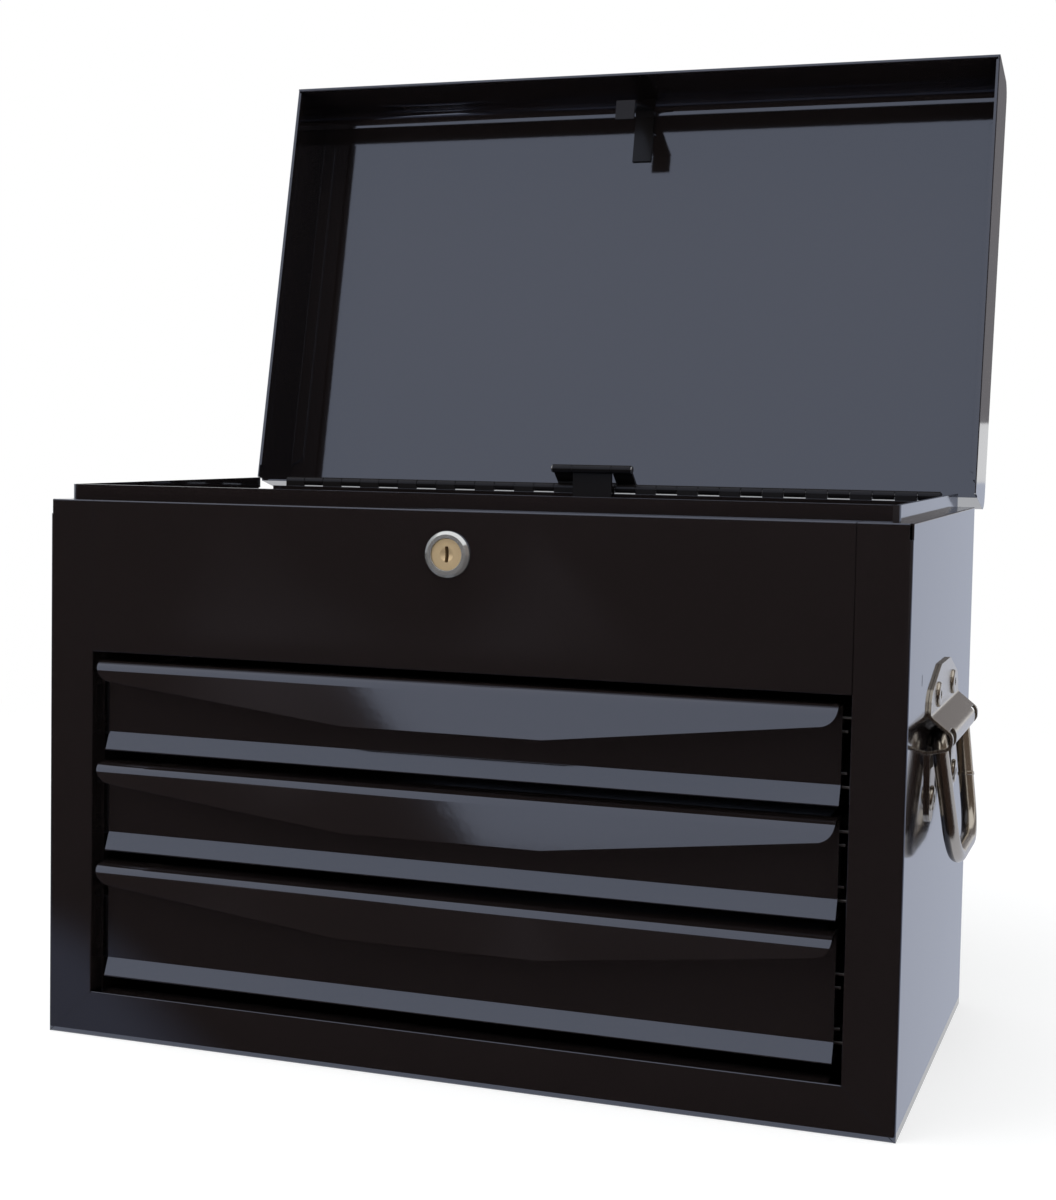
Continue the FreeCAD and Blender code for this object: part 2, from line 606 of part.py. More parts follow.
def make_body_shell():
    """Sides, back and the two stiles, folded from one sheet."""
    body = new_body("body_shell")
    outline = [
        (OPEN_HALF, FRONT), (HALF_WIDTH, FRONT), (HALF_WIDTH, HALF_DEPTH), (-HALF_WIDTH, HALF_DEPTH),
        (-HALF_WIDTH, FRONT), (-OPEN_HALF, FRONT), (-OPEN_HALF, FRONT_INNER), (-INNER_HALF, FRONT_INNER),
        (-INNER_HALF, INNER_BACK), (INNER_HALF, INNER_BACK), (INNER_HALF, FRONT_INNER),
        (OPEN_HALF, FRONT_INNER),
    ]
    add(body, "top", 0, S.body_height, [outline])
    returns = box_loop(OPEN_HALF, OPEN_HALF + S.sheet, FRONT, FRONT + S.stile_return)
    add(body, "top", S.rail_height, FASCIA_FOOT, both_sides(returns))
    round_edges(body, S.bend_radius, lambda c, r: along(r, 2) and near(abs(c.x), HALF_WIDTH))
    round_edges(body, S.edge_round,
                lambda c, r: along(r, 2) and near(abs(c.x), OPEN_HALF) and near(c.y, FRONT))
    mitre = [(HALF_WIDTH, 0), (OPEN_HALF, 0), (OPEN_HALF, S.rail_height)]
    cut(body, "front", FRONT - S.overrun, FRONT_INNER, both_sides(mitre))
    ledge = [
        (OPEN_HALF, FRONT_INNER), (INNER_HALF, FRONT_INNER), (INNER_HALF, INNER_BACK),
        (TRAY_HALF, INNER_BACK),
        (TRAY_HALF, TRAY_FRONT - S.seam), (OPEN_HALF, TRAY_FRONT - S.seam),
    ]
    add(body, "top", S.body_height - S.sheet, S.body_height, both_sides(ledge))
    upstand = box_loop(-HINGE_HALF, HINGE_HALF, INNER_BACK, HALF_DEPTH)
    add(body, "top", S.body_height, KNUCKLE_FOOT, [upstand])
    round_edges(body, S.edge_round, lambda c, r: along(r, 1) and near(abs(c.x), HALF_WIDTH)
                and near(c.z, S.body_height))
    notch = box_loop(HALF_WIDTH - S.relief_width, HALF_WIDTH + S.overrun,
                     FRONT - S.overrun, FRONT + S.relief_depth)
    cut(body, "top", S.body_height - S.relief_height, S.body_height + S.overrun, both_sides(notch))
    slot_front = FRONT + S.tab_slot_setback
    slot = box_loop(slot_front, slot_front + S.tab_slot_width,
                    TRAY_FOOT - S.tab_slot_height, TRAY_FOOT)
    rivets = [(y, z, S.rivet_radius + S.rivet_play) for y, z in rivet_places()]
    for side in (1, -1):
        low, high = side_span(side, INNER_HALF - S.overrun, HALF_WIDTH + S.overrun)
        cut(body, "side", low, high, [slot], rivets)


def make_base_pan():
    """Floor with upturned edges and the rail that closes the front frame."""
    body = new_body("base_pan")
    box_part(body, (-INNER_HALF, INNER_HALF), (FRONT, INNER_BACK), (0, S.sheet))
    slope = S.rail_height / S.stile_width
    shift = S.seam + S.seam
    rail = [
        (-INNER_HALF, 0), (INNER_HALF, 0), (INNER_HALF, (S.sheet - shift) * slope),
        (OPEN_HALF - shift, S.rail_height), (-OPEN_HALF + shift, S.rail_height),
        (-INNER_HALF, (S.sheet - shift) * slope),
    ]
    add(body, "front", FRONT, FRONT_INNER, [rail])
    return_half = OPEN_HALF - S.return_end_gap
    box_part(body, (-return_half, return_half), (FRONT, FRONT + S.rail_return),
             (S.rail_height - S.sheet, S.rail_height))
    side = box_loop(INNER_HALF - S.sheet, INNER_HALF, FRONT_INNER + S.seam, INNER_BACK)
    back = box_loop(-INNER_HALF, INNER_HALF, INNER_BACK - S.sheet, INNER_BACK)
    add(body, "top", 0, S.pan_flange, both_sides(side))
    add(body, "top", 0, S.pan_flange, [back])
    round_edges(body, S.bend_radius, lambda c, r: along(r, 0) and near(c.y, FRONT) and near(c.z, 0))
    round_edges(body, S.edge_round,
                lambda c, r: along(r, 0) and near(c.y, FRONT) and near(c.z, S.rail_height))


def make_fascia():
    """Panel above the drawers, with its ledge, folds and weld tabs."""
    body = new_body("front_fascia")
    half = OPEN_HALF - S.seam
    box_part(body, (-half, half), (FRONT, FRONT_INNER), (FASCIA_FOOT, S.body_height))
    box_part(body, (-half, half), (FRONT, TRAY_FRONT - S.seam),
             (S.body_height - S.sheet, S.body_height))
    return_half = OPEN_HALF - S.return_end_gap
    box_part(body, (-return_half, return_half), (FRONT, FRONT + S.fascia_return),
             (FASCIA_FOOT, FASCIA_FOOT + S.sheet))
    tab = box_loop(OPEN_HALF - S.return_end_gap, OPEN_HALF + S.return_end_gap,
                   FRONT_INNER, FRONT_INNER + S.sheet)
    add(body, "top", FASCIA_FOOT + S.return_end_gap, S.body_height - S.return_end_gap, both_sides(tab))
    cut(body, "front", FRONT - S.overrun, FRONT_INNER + S.overrun, [],
        [(0, LOCK_Z, S.lock_radius + S.lock_hole_play)])
    round_edges(body, S.edge_round, lambda c, r: along(r, 0) and near(c.y, FRONT))


def make_tray():
    """Fixed tray whose walls stand above the ledge as a collar."""
    body = new_body("top_tray")
    box_part(body, (-TRAY_HALF, TRAY_HALF), (TRAY_FRONT, TRAY_BACK), (TRAY_FOOT, COLLAR_TOP))
    inner = TRAY_HALF - S.sheet
    inner_front = TRAY_FRONT + S.sheet
    inner_back = TRAY_BACK - S.sheet
    box_cut(body, (-inner, inner), (inner_front, inner_back), (TRAY_FOOT + S.sheet, COLLAR_TOP + S.overrun))
    round_edges(body, S.tray_corner_radius - S.sheet,
                lambda c, r: along(r, 2) and near(abs(c.x), inner))
    round_edges(body, S.tray_corner_radius, lambda c, r: along(r, 2) and near(abs(c.x), TRAY_HALF))
    hem_end = TRAY_BACK - S.collar_end_gap
    side = box_loop(inner - S.sheet, inner, TRAY_FRONT + S.tray_corner_radius, hem_end)
    front = box_loop(-TRAY_HALF + S.tray_corner_radius, TRAY_HALF - S.tray_corner_radius,
                     inner_front, inner_front + S.sheet)
    add(body, "top", COLLAR_TOP - S.collar_hem, COLLAR_TOP, both_sides(side))
    add(body, "top", COLLAR_TOP - S.collar_hem, COLLAR_TOP, [front])
    low_end = box_loop(inner - S.sheet - S.overrun, TRAY_HALF + S.overrun, hem_end, TRAY_BACK + S.overrun)
    cut(body, "top", S.body_height, COLLAR_TOP + S.overrun, both_sides(low_end))
    box_cut(body, (-TRAY_HALF, TRAY_HALF), (inner_back - S.overrun, TRAY_BACK + S.overrun),
            (KNUCKLE_FOOT, COLLAR_TOP + S.overrun))
    cut(body, "front", TRAY_FRONT - S.overrun, inner_front + S.overrun, [],
        [(0, LOCK_Z, S.lock_radius + S.lock_hole_play)])
    slot_half = S.bar_width / 2 + S.bar_slot_play
    slot_back = PIN_OPEN[0] + STRIP_BACK + S.guide_play
    box_cut(body, (-slot_half, slot_half), (HOOK_FRONT + BAR_SHIFT - S.bar_slot_play, slot_back),
            (TRAY_FOOT - S.overrun, TRAY_FOOT + S.sheet + S.overrun))


def make_runner(side, name):
    """Panel that carries the three slides of one side."""
    body = new_body(name)
    back = INNER_BACK - S.runner_end_gap
    panel = [
        (RUNNER_HALF, FRONT + S.runner_front), (OPEN_HALF, FRONT + S.runner_front),
        (OPEN_HALF, back - S.sheet), (INNER_HALF - S.sheet, back - S.sheet),
        (INNER_HALF - S.sheet, back - S.runner_lip), (INNER_HALF, back - S.runner_lip),
        (INNER_HALF, back), (RUNNER_HALF, back),
    ]
    add(body, "top", S.runner_foot, RUNNER_TOP, [side_loop(side, panel)])
    round_edges(body, S.edge_round,
                lambda c, r: along(r, 2) and near(abs(c.x), RUNNER_HALF) and near(c.y, back))


# Each ball's seam faces away from the runner panel, on either side.
BALL_TURNS = {
    -1: FreeCAD.Rotation(),
    1: FreeCAD.Rotation(FreeCAD.Vector(0, 0, 1), 180),
}


def make_slide(side, name, number):
    """Outer member on the runner panel and inner member on the drawer box."""
    middle = SLIDE_MIDDLES[number]
    front = FRONT + S.slide_setback
    back = front + S.slide_length
    race = S.ball_row_height + S.ball_radius + S.ball_play
    outer_top = race + S.slide_gauge
    inner_top = S.ball_row_height - S.ball_radius - S.ball_play
    reach = S.slide_flange
    lip = S.slide_flange - S.slide_gauge

    def place(away, rise):
        return RUNNER_HALF - away, middle + rise

    outer = new_body("slide_outer_%s_%d" % (name, number + 1))
    channel = [
        place(0, outer_top), place(0, -outer_top), place(reach, -outer_top),
        place(reach, -race + S.slide_curl), place(lip, -race + S.slide_curl), place(lip, -race),
        place(S.slide_gauge, -race), place(S.slide_gauge, race), place(lip, race),
        place(lip, race - S.slide_curl), place(reach, race - S.slide_curl), place(reach, outer_top),
    ]
    add(outer, "front", front, back, [side_loop(side, channel)])
    corners = (RUNNER_HALF.value, (RUNNER_HALF - reach).value)
    round_edges(outer, S.edge_round,
                lambda c, r: along(r, 1) and min(abs(abs(c.x) - x) for x in corners) < 1e-3
                and near(abs(c.z - middle.value), outer_top))

    inner = new_body("slide_inner_%s_%d" % (name, number + 1))
    far = S.slide_thickness
    web = S.slide_thickness - S.slide_gauge
    under = inner_top - S.slide_gauge
    start = S.inner_flange_start
    channel = [
        place(far, inner_top), place(far, -inner_top), place(start, -inner_top), place(start, -under),
        place(web, -under), place(web, under), place(start, under), place(start, inner_top),
    ]
    add(inner, "front", front, back, [side_loop(side, channel)])
    round_edges(inner, S.edge_round, lambda c, r: along(r, 1) and near(abs(c.x), RUNNER_HALF - far))

    cage = new_body("ball_cage_%s_%d" % (name, number + 1))
    cage_back = back - (S.slide_length - S.drawer_travel / 2 - S.cage_length) + S.cage_margin
    cage_front = cage_back - S.cage_length
    arm = S.ball_row_height + S.cage_gauge / 2
    arm_under = S.ball_row_height - S.cage_gauge / 2
    near_web = S.slide_gauge + S.cage_gap
    far_web = near_web + S.cage_gauge
    end = S.ball_away + S.ball_radius - S.cage_gap
    channel = [
        place(near_web, arm), place(near_web, -arm), place(end, -arm), place(end, -arm_under),
        place(far_web, -arm_under), place(far_web, arm_under), place(end, arm_under), place(end, arm),
    ]
    add(cage, "front", cage_front, cage_back, [side_loop(side, channel)])
    for row in (1, -1):
        for index in (-1, 0, 1):
            ball = cage.newObject("PartDesign::AdditiveSphere", cage.Label + "_ball")
            ball.AttachmentOffset = FreeCAD.Placement(FreeCAD.Vector(), BALL_TURNS[side])
            bind(ball, "Radius", S.ball_radius)
            across, height = place(S.ball_away, S.ball_row_height * row)
            bind(ball, "AttachmentOffset.Base.x", across * side)
            bind(ball, "AttachmentOffset.Base.y", (cage_front + cage_back) / 2 + S.ball_pitch * index)
            bind(ball, "AttachmentOffset.Base.z", height)
            ball.AttachmentSupport = (origin_part(cage, "XY_Plane"), "")
            ball.MapMode = "FlatFace"
            doc.recompute()


def add_arc_loop(sketch, places, arc, bend):
    """A closed outline whose side number arc is a quarter circle about a middle with X at bend."""
    places = [(as_size(u), as_size(v)) for u, v in places]
    first = sketch.GeometryCount
    count = len(places)
    corners = [FreeCAD.Vector(u.value, v.value, 0) for u, v in places]
    ends = {}
    for i in range(count):
        start, stop = corners[i], corners[(i + 1) % count]
        ends[i] = (1, 2)
        if i != arc:
            sketch.addGeometry(Part.LineSegment(start, stop), False)
            continue
        middle = FreeCAD.Vector(bend.value, start.y, 0)
        turns = [math.atan2(end.y - middle.y, end.x - middle.x) for end in (start, stop)]
        if math.sin(turns[1] - turns[0]) < 0:
            turns.reverse()
            ends[i] = (2, 1)
        if turns[1] < turns[0]:
            turns[1] += math.tau
        circle = Part.Circle(middle, FreeCAD.Vector(0, 0, 1), abs(stop.y - start.y))
        sketch.addGeometry(Part.ArcOfCircle(circle, turns[0], turns[1]), False)
    for i in range(count):
        following = (i + 1) % count
        sketch.addConstraint(Sketcher.Constraint("Coincident", first + i, ends[i][1],
                                                 first + following, ends[following][0]))
    for i, place in enumerate(places):
        for kind, size in zip(("DistanceX", "DistanceY"), place):
            number = sketch.addConstraint(
                Sketcher.Constraint(kind, -1, 1, first + i, ends[i][0], size.value))
            sketch.setExpression("Constraints[%d]" % number, size.text)
    number = sketch.addConstraint(Sketcher.Constraint("DistanceX", -1, 1, first + arc, 3, bend.value))
    sketch.setExpression("Constraints[%d]" % number, bend.text)


def make_drawer_front(number):
    """Drawer front with its pull lip above and sloping strip below, folded from one sheet."""
    body = new_body("drawer_front_%d" % (number + 1))
    top, foot = DRAWER_TOPS[number], DRAWER_FEET[number]
    slant = FACE_Y + S.sheet - S.kick_reach * (S.kick_height - S.sheet) / S.kick_height
    under_end = FACE_Y + S.front_return
    lip_foot = LIP_Y - S.lip_flare
    profile = [
        (lip_foot, top - S.lip_mid_height), (LIP_Y, top), (BOX_FRONT, top),
        (BOX_FRONT, foot + S.kick_height),
        (slant, foot + S.sheet), (under_end, foot + S.sheet), (under_end, foot),
        (FACE_Y - S.kick_reach, foot),
        (FACE_Y, foot + S.kick_height), (FACE_Y, top - S.sheet), (LIP_Y + S.sheet, top - S.sheet),
        (lip_foot + S.sheet, top - S.lip_mid_height),
    ]
    add(body, "side", -FRONT_HALF, FRONT_HALF, [profile])
    round_edges(body, S.lip_radius - S.sheet,
                lambda c, r: along(r, 0) and near(c.y, LIP_Y + S.sheet) and near(c.z, top - S.sheet))
    round_edges(body, S.lip_radius, lambda c, r: along(r, 0) and near(c.y, LIP_Y) and near(c.z, top))
    round_edges(body, S.edge_round, lambda c, r: along(r, 0) and near(c.y, FACE_Y - S.kick_reach))
    end_foot = top - S.lip_end_height
    arc_top = end_foot + S.lip_corner_radius
    below = top - S.lip_mid_height - S.overrun
    bend = FRONT_HALF - S.lip_corner_radius
    away = [
        (FRONT_HALF + S.overrun, arc_top), (FRONT_HALF, arc_top), (bend, end_foot),
        (S.lip_mid_half, top - S.lip_mid_height), (S.lip_mid_half, below), (FRONT_HALF + S.overrun, below),
    ]
    before = body.Shape.Volume
    sketch = body.newObject("Sketcher::SketchObject", body.Label + "_sketch")
    sketch.AttachmentSupport = (origin_part(body, "XZ_Plane"), "")
    sketch.MapMode = "FlatFace"
    add_arc_loop(sketch, away, 1, bend)
    add_arc_loop(sketch, side_loop(-1, away), 1, -bend)
    bind(sketch, "AttachmentOffset.Base.z", -(lip_foot - S.overrun))
    pocket = body.newObject("PartDesign::Pocket", body.Label + "_pocket")
    pocket.Profile = sketch
    bind(pocket, "Length", S.overrun + S.lip_flare + S.lip_radius)
    doc.recompute()
    if body.Shape.Volume >= before:
        print("lip outline takes nothing away:", body.Label)
    returns = box_loop(FRONT_HALF - S.sheet, FRONT_HALF, FACE_Y, FACE_Y + S.side_return)
    add(body, "top", foot + S.kick_height, top, both_sides(returns))


def make_drawer_box(number):
    """Open box behind a drawer front."""
    body = new_body("drawer_box_%d" % (number + 1))
    foot, top = BOX_FEET[number], BOX_TOPS[number]
    box_part(body, (-BOX_HALF, BOX_HALF), (BOX_FRONT, BOX_BACK), (foot, top))
    round_edges(body, S.box_corner_radius, lambda c, r: along(r, 2) and near(c.y, BOX_BACK))
    inner = BOX_HALF - S.sheet
    box_cut(body, (-inner, inner), (BOX_FRONT + S.sheet, BOX_BACK - S.sheet),
            (foot + S.sheet, top + S.overrun))
    round_edges(body, S.box_corner_radius - S.sheet,
                lambda c, r: along(r, 2) and near(abs(c.x), inner) and near(c.y, BOX_BACK - S.sheet))
    side = box_loop(inner - S.sheet, inner, BOX_FRONT + S.box_corner_radius, BOX_BACK - S.box_corner_radius)
    back = box_loop(-inner + S.box_corner_radius, inner - S.box_corner_radius,
                    BOX_BACK - S.sheet - S.sheet, BOX_BACK - S.sheet)
    add(body, "top", top - S.box_hem, top, both_sides(side))
    add(body, "top", top - S.box_hem, top, [back])
    round_edges(body, S.edge_round,
                lambda c, r: along(r, 1) and near(abs(c.x), BOX_HALF) and near(c.z, foot))


def make_drawer_catch(number):
    """Catch on the back of a drawer box, held by the lock bar's hook when the lid is closed."""
    body = new_body("drawer_catch_%d" % (number + 1))
    low, foot, top = BOX_FEET[number], CATCH_FOOT[number], CATCH_TOPS[number]
    half = S.catch_width / 2
    gauge = S.catch_gauge
    profile = [
        (BOX_BACK, low + gauge), (BOX_BACK + gauge, low + gauge), (BOX_BACK + gauge, foot),
        (CATCH_BACK, foot),
        (CATCH_BACK, top), (CATCH_BACK - gauge, top), (CATCH_BACK - gauge, foot + gauge),
        (BOX_BACK, foot + gauge),
    ]
    add(body, "side", -half, half, [profile])
    round_edges(body, S.edge_round, lambda c, r: along(r, 0) and near(c.y, CATCH_BACK) and near(c.z, foot))


def make_hinge_leaf(name, first, low, high, root):
    """One leaf of the piano hinge, from low to high, with every second knuckle from its root level."""
    body = new_body(name)
    box_part(body, (-HINGE_HALF, HINGE_HALF), (LEAF_FRONT, INNER_BACK), (low, high))
    pitch = HINGE_HALF / HINGE_PAIRS
    start = -HINGE_HALF + pitch * first + S.knuckle_gap / 2
    stop = start + pitch - S.knuckle_gap
    levels = (root, HINGE[1]) if root.value < HINGE[1].value else (HINGE[1], root)
    tongue = box_part(body, (start, stop), (LEAF_FRONT, INNER_BACK), levels)
    barrel = add(body, "side", start, stop, [], [(HINGE[0], HINGE[1], S.knuckle_radius)])
    pattern(body, [tongue, barrel], "X_Axis", pitch * 2, HINGE_PAIRS)
    cut(body, "side", -HINGE_HALF - S.overrun, HINGE_HALF + S.overrun, [],
        [(HINGE[0], HINGE[1], S.pin_radius + S.pin_clearance)])
    return body


def make_hinge():
    """Piano hinge: body leaf, lid leaf and pin."""
    make_hinge_leaf("hinge_body_leaf", 0, HINGE[1] - S.leaf_width, KNUCKLE_FOOT, KNUCKLE_FOOT)
    leaf = make_hinge_leaf("hinge_lid_leaf", 1, KNUCKLE_HEAD, HINGE[1] + S.leaf_width, KNUCKLE_HEAD)
    swing(leaf, HINGE, OPENING)
    body = new_body("hinge_pin")
    add(body, "side", -HINGE_HALF, HINGE_HALF, [], [(HINGE[0], HINGE[1], S.pin_radius)])
    round_rings(body, S.pin_radius / 2, lambda c, r: near(abs(c.x), HINGE_HALF))


def make_lid():
    """Wrap with front and rear skirts, and two welded end caps."""
    half = HALF_WIDTH + S.lid_side_overhang
    front = FRONT - S.lid_front_overhang
    rim = S.body_height + S.lid_clearance
    top = rim + S.lid_depth
    gauge = S.sheet
    wrap = new_body("lid_wrap")
    profile = [
        (front, rim), (front, top), (HALF_DEPTH, top), (HALF_DEPTH, KNUCKLE_HEAD),
        (INNER_BACK, KNUCKLE_HEAD),
        (INNER_BACK, top - gauge), (front + gauge, top - gauge), (front + gauge, rim),
    ]
    add(wrap, "side", -half, half, [profile])
    round_edges(wrap, S.lid_bend_radius - gauge, lambda c, r: along(r, 0) and near(c.z, top - gauge))
    round_edges(wrap, S.lid_bend_radius, lambda c, r: along(r, 0) and near(c.z, top))
    box_part(wrap, (-half + gauge, half - gauge), (front + gauge, front + gauge * 2), (rim, rim + S.lid_hem))
    round_edges(wrap, S.edge_round, lambda c, r: along(r, 0) and near(c.z, rim) and abs(r.x) > half.value)
    swing(wrap, HINGE, OPENING)
    for side, name in ((1, "right"), (-1, "left")):
        cap = new_body("lid_cap_" + name)
        low, high = side_span(side, half - gauge, half)
        plate = box_loop(front + gauge, INNER_BACK, rim, top - gauge)
        add(cap, "side", low, high, [plate])
        round_edges(cap, S.lid_bend_radius - gauge, lambda c, r: along(r, 0) and near(c.z, top - gauge))
        a, b = front + S.cap_flange_gap, HALF_DEPTH - S.cap_flange_gap
        flange = [
            (half - gauge, a), (half - S.cap_flange, a + S.cap_flange_chamfer),
            (half - S.cap_flange, b - S.cap_flange_chamfer), (half - gauge, b),
        ]
        add(cap, "top", top - gauge * 2, top - gauge, [side_loop(side, flange)])
        hem = box_loop(half - gauge * 2, half - gauge, front + gauge * 3, INNER_BACK - S.lid_hem)
        add(cap, "top", rim, rim + S.lid_hem, [side_loop(side, hem)])
        round_edges(cap, S.edge_round, lambda c, r: along(r, 1) and near(c.z, rim) and near(abs(c.x), half))
        swing(cap, HINGE, OPENING)


def make_lid_catch():
    """Strap on the lid whose lip hangs over the tray and is held by the lock's cam."""
    body = new_body("lid_catch")
    rim = S.body_height + S.lid_clearance
    panel = rim + S.lid_depth - S.sheet
    gauge = S.strike_gauge
    back = FRONT - S.lid_front_overhang + S.sheet + S.strike_setback + S.strike_strap
    bend = back - S.strike_strap + S.strike_bend
    low = rim + S.strike_lift
    lip_front = FRONT + S.strike_lip_setback - S.strike_lip / 2
    lip_back = lip_front + S.strike_lip
    nose = back - S.strike_strap
    nose_height = panel - S.strike_bend / 2
    run = lip_front - nose
    drop = nose_height - low
    skew = run / drop
    thick = gauge * root_of(as_size(1) + skew * skew)
    profile = [
        (back, panel), (bend, panel), (nose, nose_height), (lip_front, low), (lip_back, low),
        (lip_back, low + gauge), (lip_front + thick - skew * gauge, low + gauge),
        (nose + thick + skew * gauge, nose_height - gauge), (bend + gauge / 2, panel - gauge),
        (back, panel - gauge),
    ]
    half = S.strike_width / 2
    add(body, "side", -half, half, [profile])
    middle = (low + nose_height) / 2
    cut(body, "front", nose, lip_back, [], [(0, middle, S.strike_hole)])
    swing(body, HINGE, OPENING)


def make_lock_bar():
    """Flat bar that hangs from the lid's bracket, with a welded hook for each drawer."""
    bar = new_body("lock_bar")
    half = S.bar_width / 2
    front = PIN_OPEN[0] + STRIP_FRONT
    back = PIN_OPEN[0] + STRIP_BACK
    box_part(bar, (-half, half), (front, back), (S.bar_end_height, PIN_OPEN[1]))
    add(bar, "side", -half, half, [], [(PIN_OPEN[0], PIN_OPEN[1], S.bar_knuckle_radius)])
    round_edges(bar, S.bar_end_radius, lambda c, r: along(r, 1) and near(c.z, S.bar_end_height))
    ear_top = UPPER_GUIDE - S.stop_gap
    box_part(bar, (-half - S.stop_width, half + S.stop_width), (front, back),
             (ear_top - S.stop_height, ear_top))
    cut(bar, "side", -half - S.overrun, half + S.overrun, [],
        [(PIN_OPEN[0], PIN_OPEN[1], S.bar_pin_radius + S.pin_clearance)])
    hook_half = S.hook_width / 2
    hook_front = HOOK_FRONT + BAR_SHIFT
    for number, (under, end) in enumerate(zip(HOOK_UNDERS, HOOK_ENDS)):
        hook = new_body("lock_hook_%d" % (number + 1))
        low, high = end + BAR_RISE, under + BAR_RISE
        profile = [
            (hook_front, low), (hook_front + S.catch_gauge, low), (hook_front + S.catch_gauge, high),
            (front, high), (front, high + S.catch_gauge), (hook_front, high + S.catch_gauge),
        ]
        add(hook, "side", -hook_half, hook_half, [profile])
        round_edges(hook, S.edge_round,
                    lambda c, r: along(r, 0) and near(c.y, hook_front) and near(c.z, high + S.catch_gauge))

    bracket = new_body("bar_bracket")
    wide = S.bracket_width / 2
    inner = half + S.knuckle_gap
    foot_low = HINGE[1] + S.bracket_gap
    y, z = PIN_CLOSED
    plate_front = LEAF_FRONT - S.bracket_gauge
    box_part(bracket, (-wide, wide), (plate_front, LEAF_FRONT), (foot_low, foot_low + S.bracket_foot))
    arm = [
        (LEAF_FRONT, foot_low), (LEAF_FRONT, foot_low + S.bracket_gauge),
        (plate_front, foot_low + S.bracket_gauge),
        (y - S.arm_lead, z + S.arm_lift), (y + S.arm_lift - S.arm_lead, z + S.arm_lift - S.arm_lead),
    ]
    for side in (1, -1):
        low, high = side_span(side, inner, wide)
        add(bracket, "side", low, high, [arm])
        add(bracket, "side", low, high, [], [(y, z, S.bar_knuckle_radius)])
    cut(bracket, "side", -wide - S.overrun, wide + S.overrun, [],
        [(y, z, S.bar_pin_radius + S.pin_clearance)])
    round_edges(bracket, S.bracket_corner, lambda c, r: along(r, 1) and near(abs(c.x), wide)
                and near(c.z, foot_low + S.bracket_foot))
    swing(bracket, HINGE, OPENING)

    pin = new_body("bar_pin")
    add(pin, "side", -wide, wide, [], [(y, z, S.bar_pin_radius)])
    for side in (1, -1):
        low, high = side_span(side, wide, wide + S.pin_head_height)
        add(pin, "side", low, high, [], [(y, z, S.pin_head_radius)])
    round_rings(pin, S.pin_head_height / 2,
                lambda c, r: near(r, S.pin_head_radius) and near(abs(c.x), wide + S.pin_head_height))
    swing(pin, HINGE, OPENING)


def make_bar_guide(name, low):
    """Strap on the rear panel that keeps the lock bar upright."""
    body = new_body(name)
    inner = S.bar_width / 2 + S.guide_play
    outer = inner + S.guide_gauge
    half = S.guide_width / 2
    front = GUIDE_BACK_OF_STRAP - S.guide_gauge
    foot = INNER_BACK - S.guide_gauge
    outline = [
        (-half, INNER_BACK), (-half, foot), (-outer, foot), (-outer, front), (outer, front), (outer, foot),
        (half, foot), (half, INNER_BACK), (inner, INNER_BACK), (inner, GUIDE_BACK_OF_STRAP),
        (-inner, GUIDE_BACK_OF_STRAP), (-inner, INNER_BACK),
    ]
    add(body, "top", low, low + S.guide_height, [outline])
    round_edges(body, S.edge_round, lambda c, r: along(r, 2) and near(c.y, front))


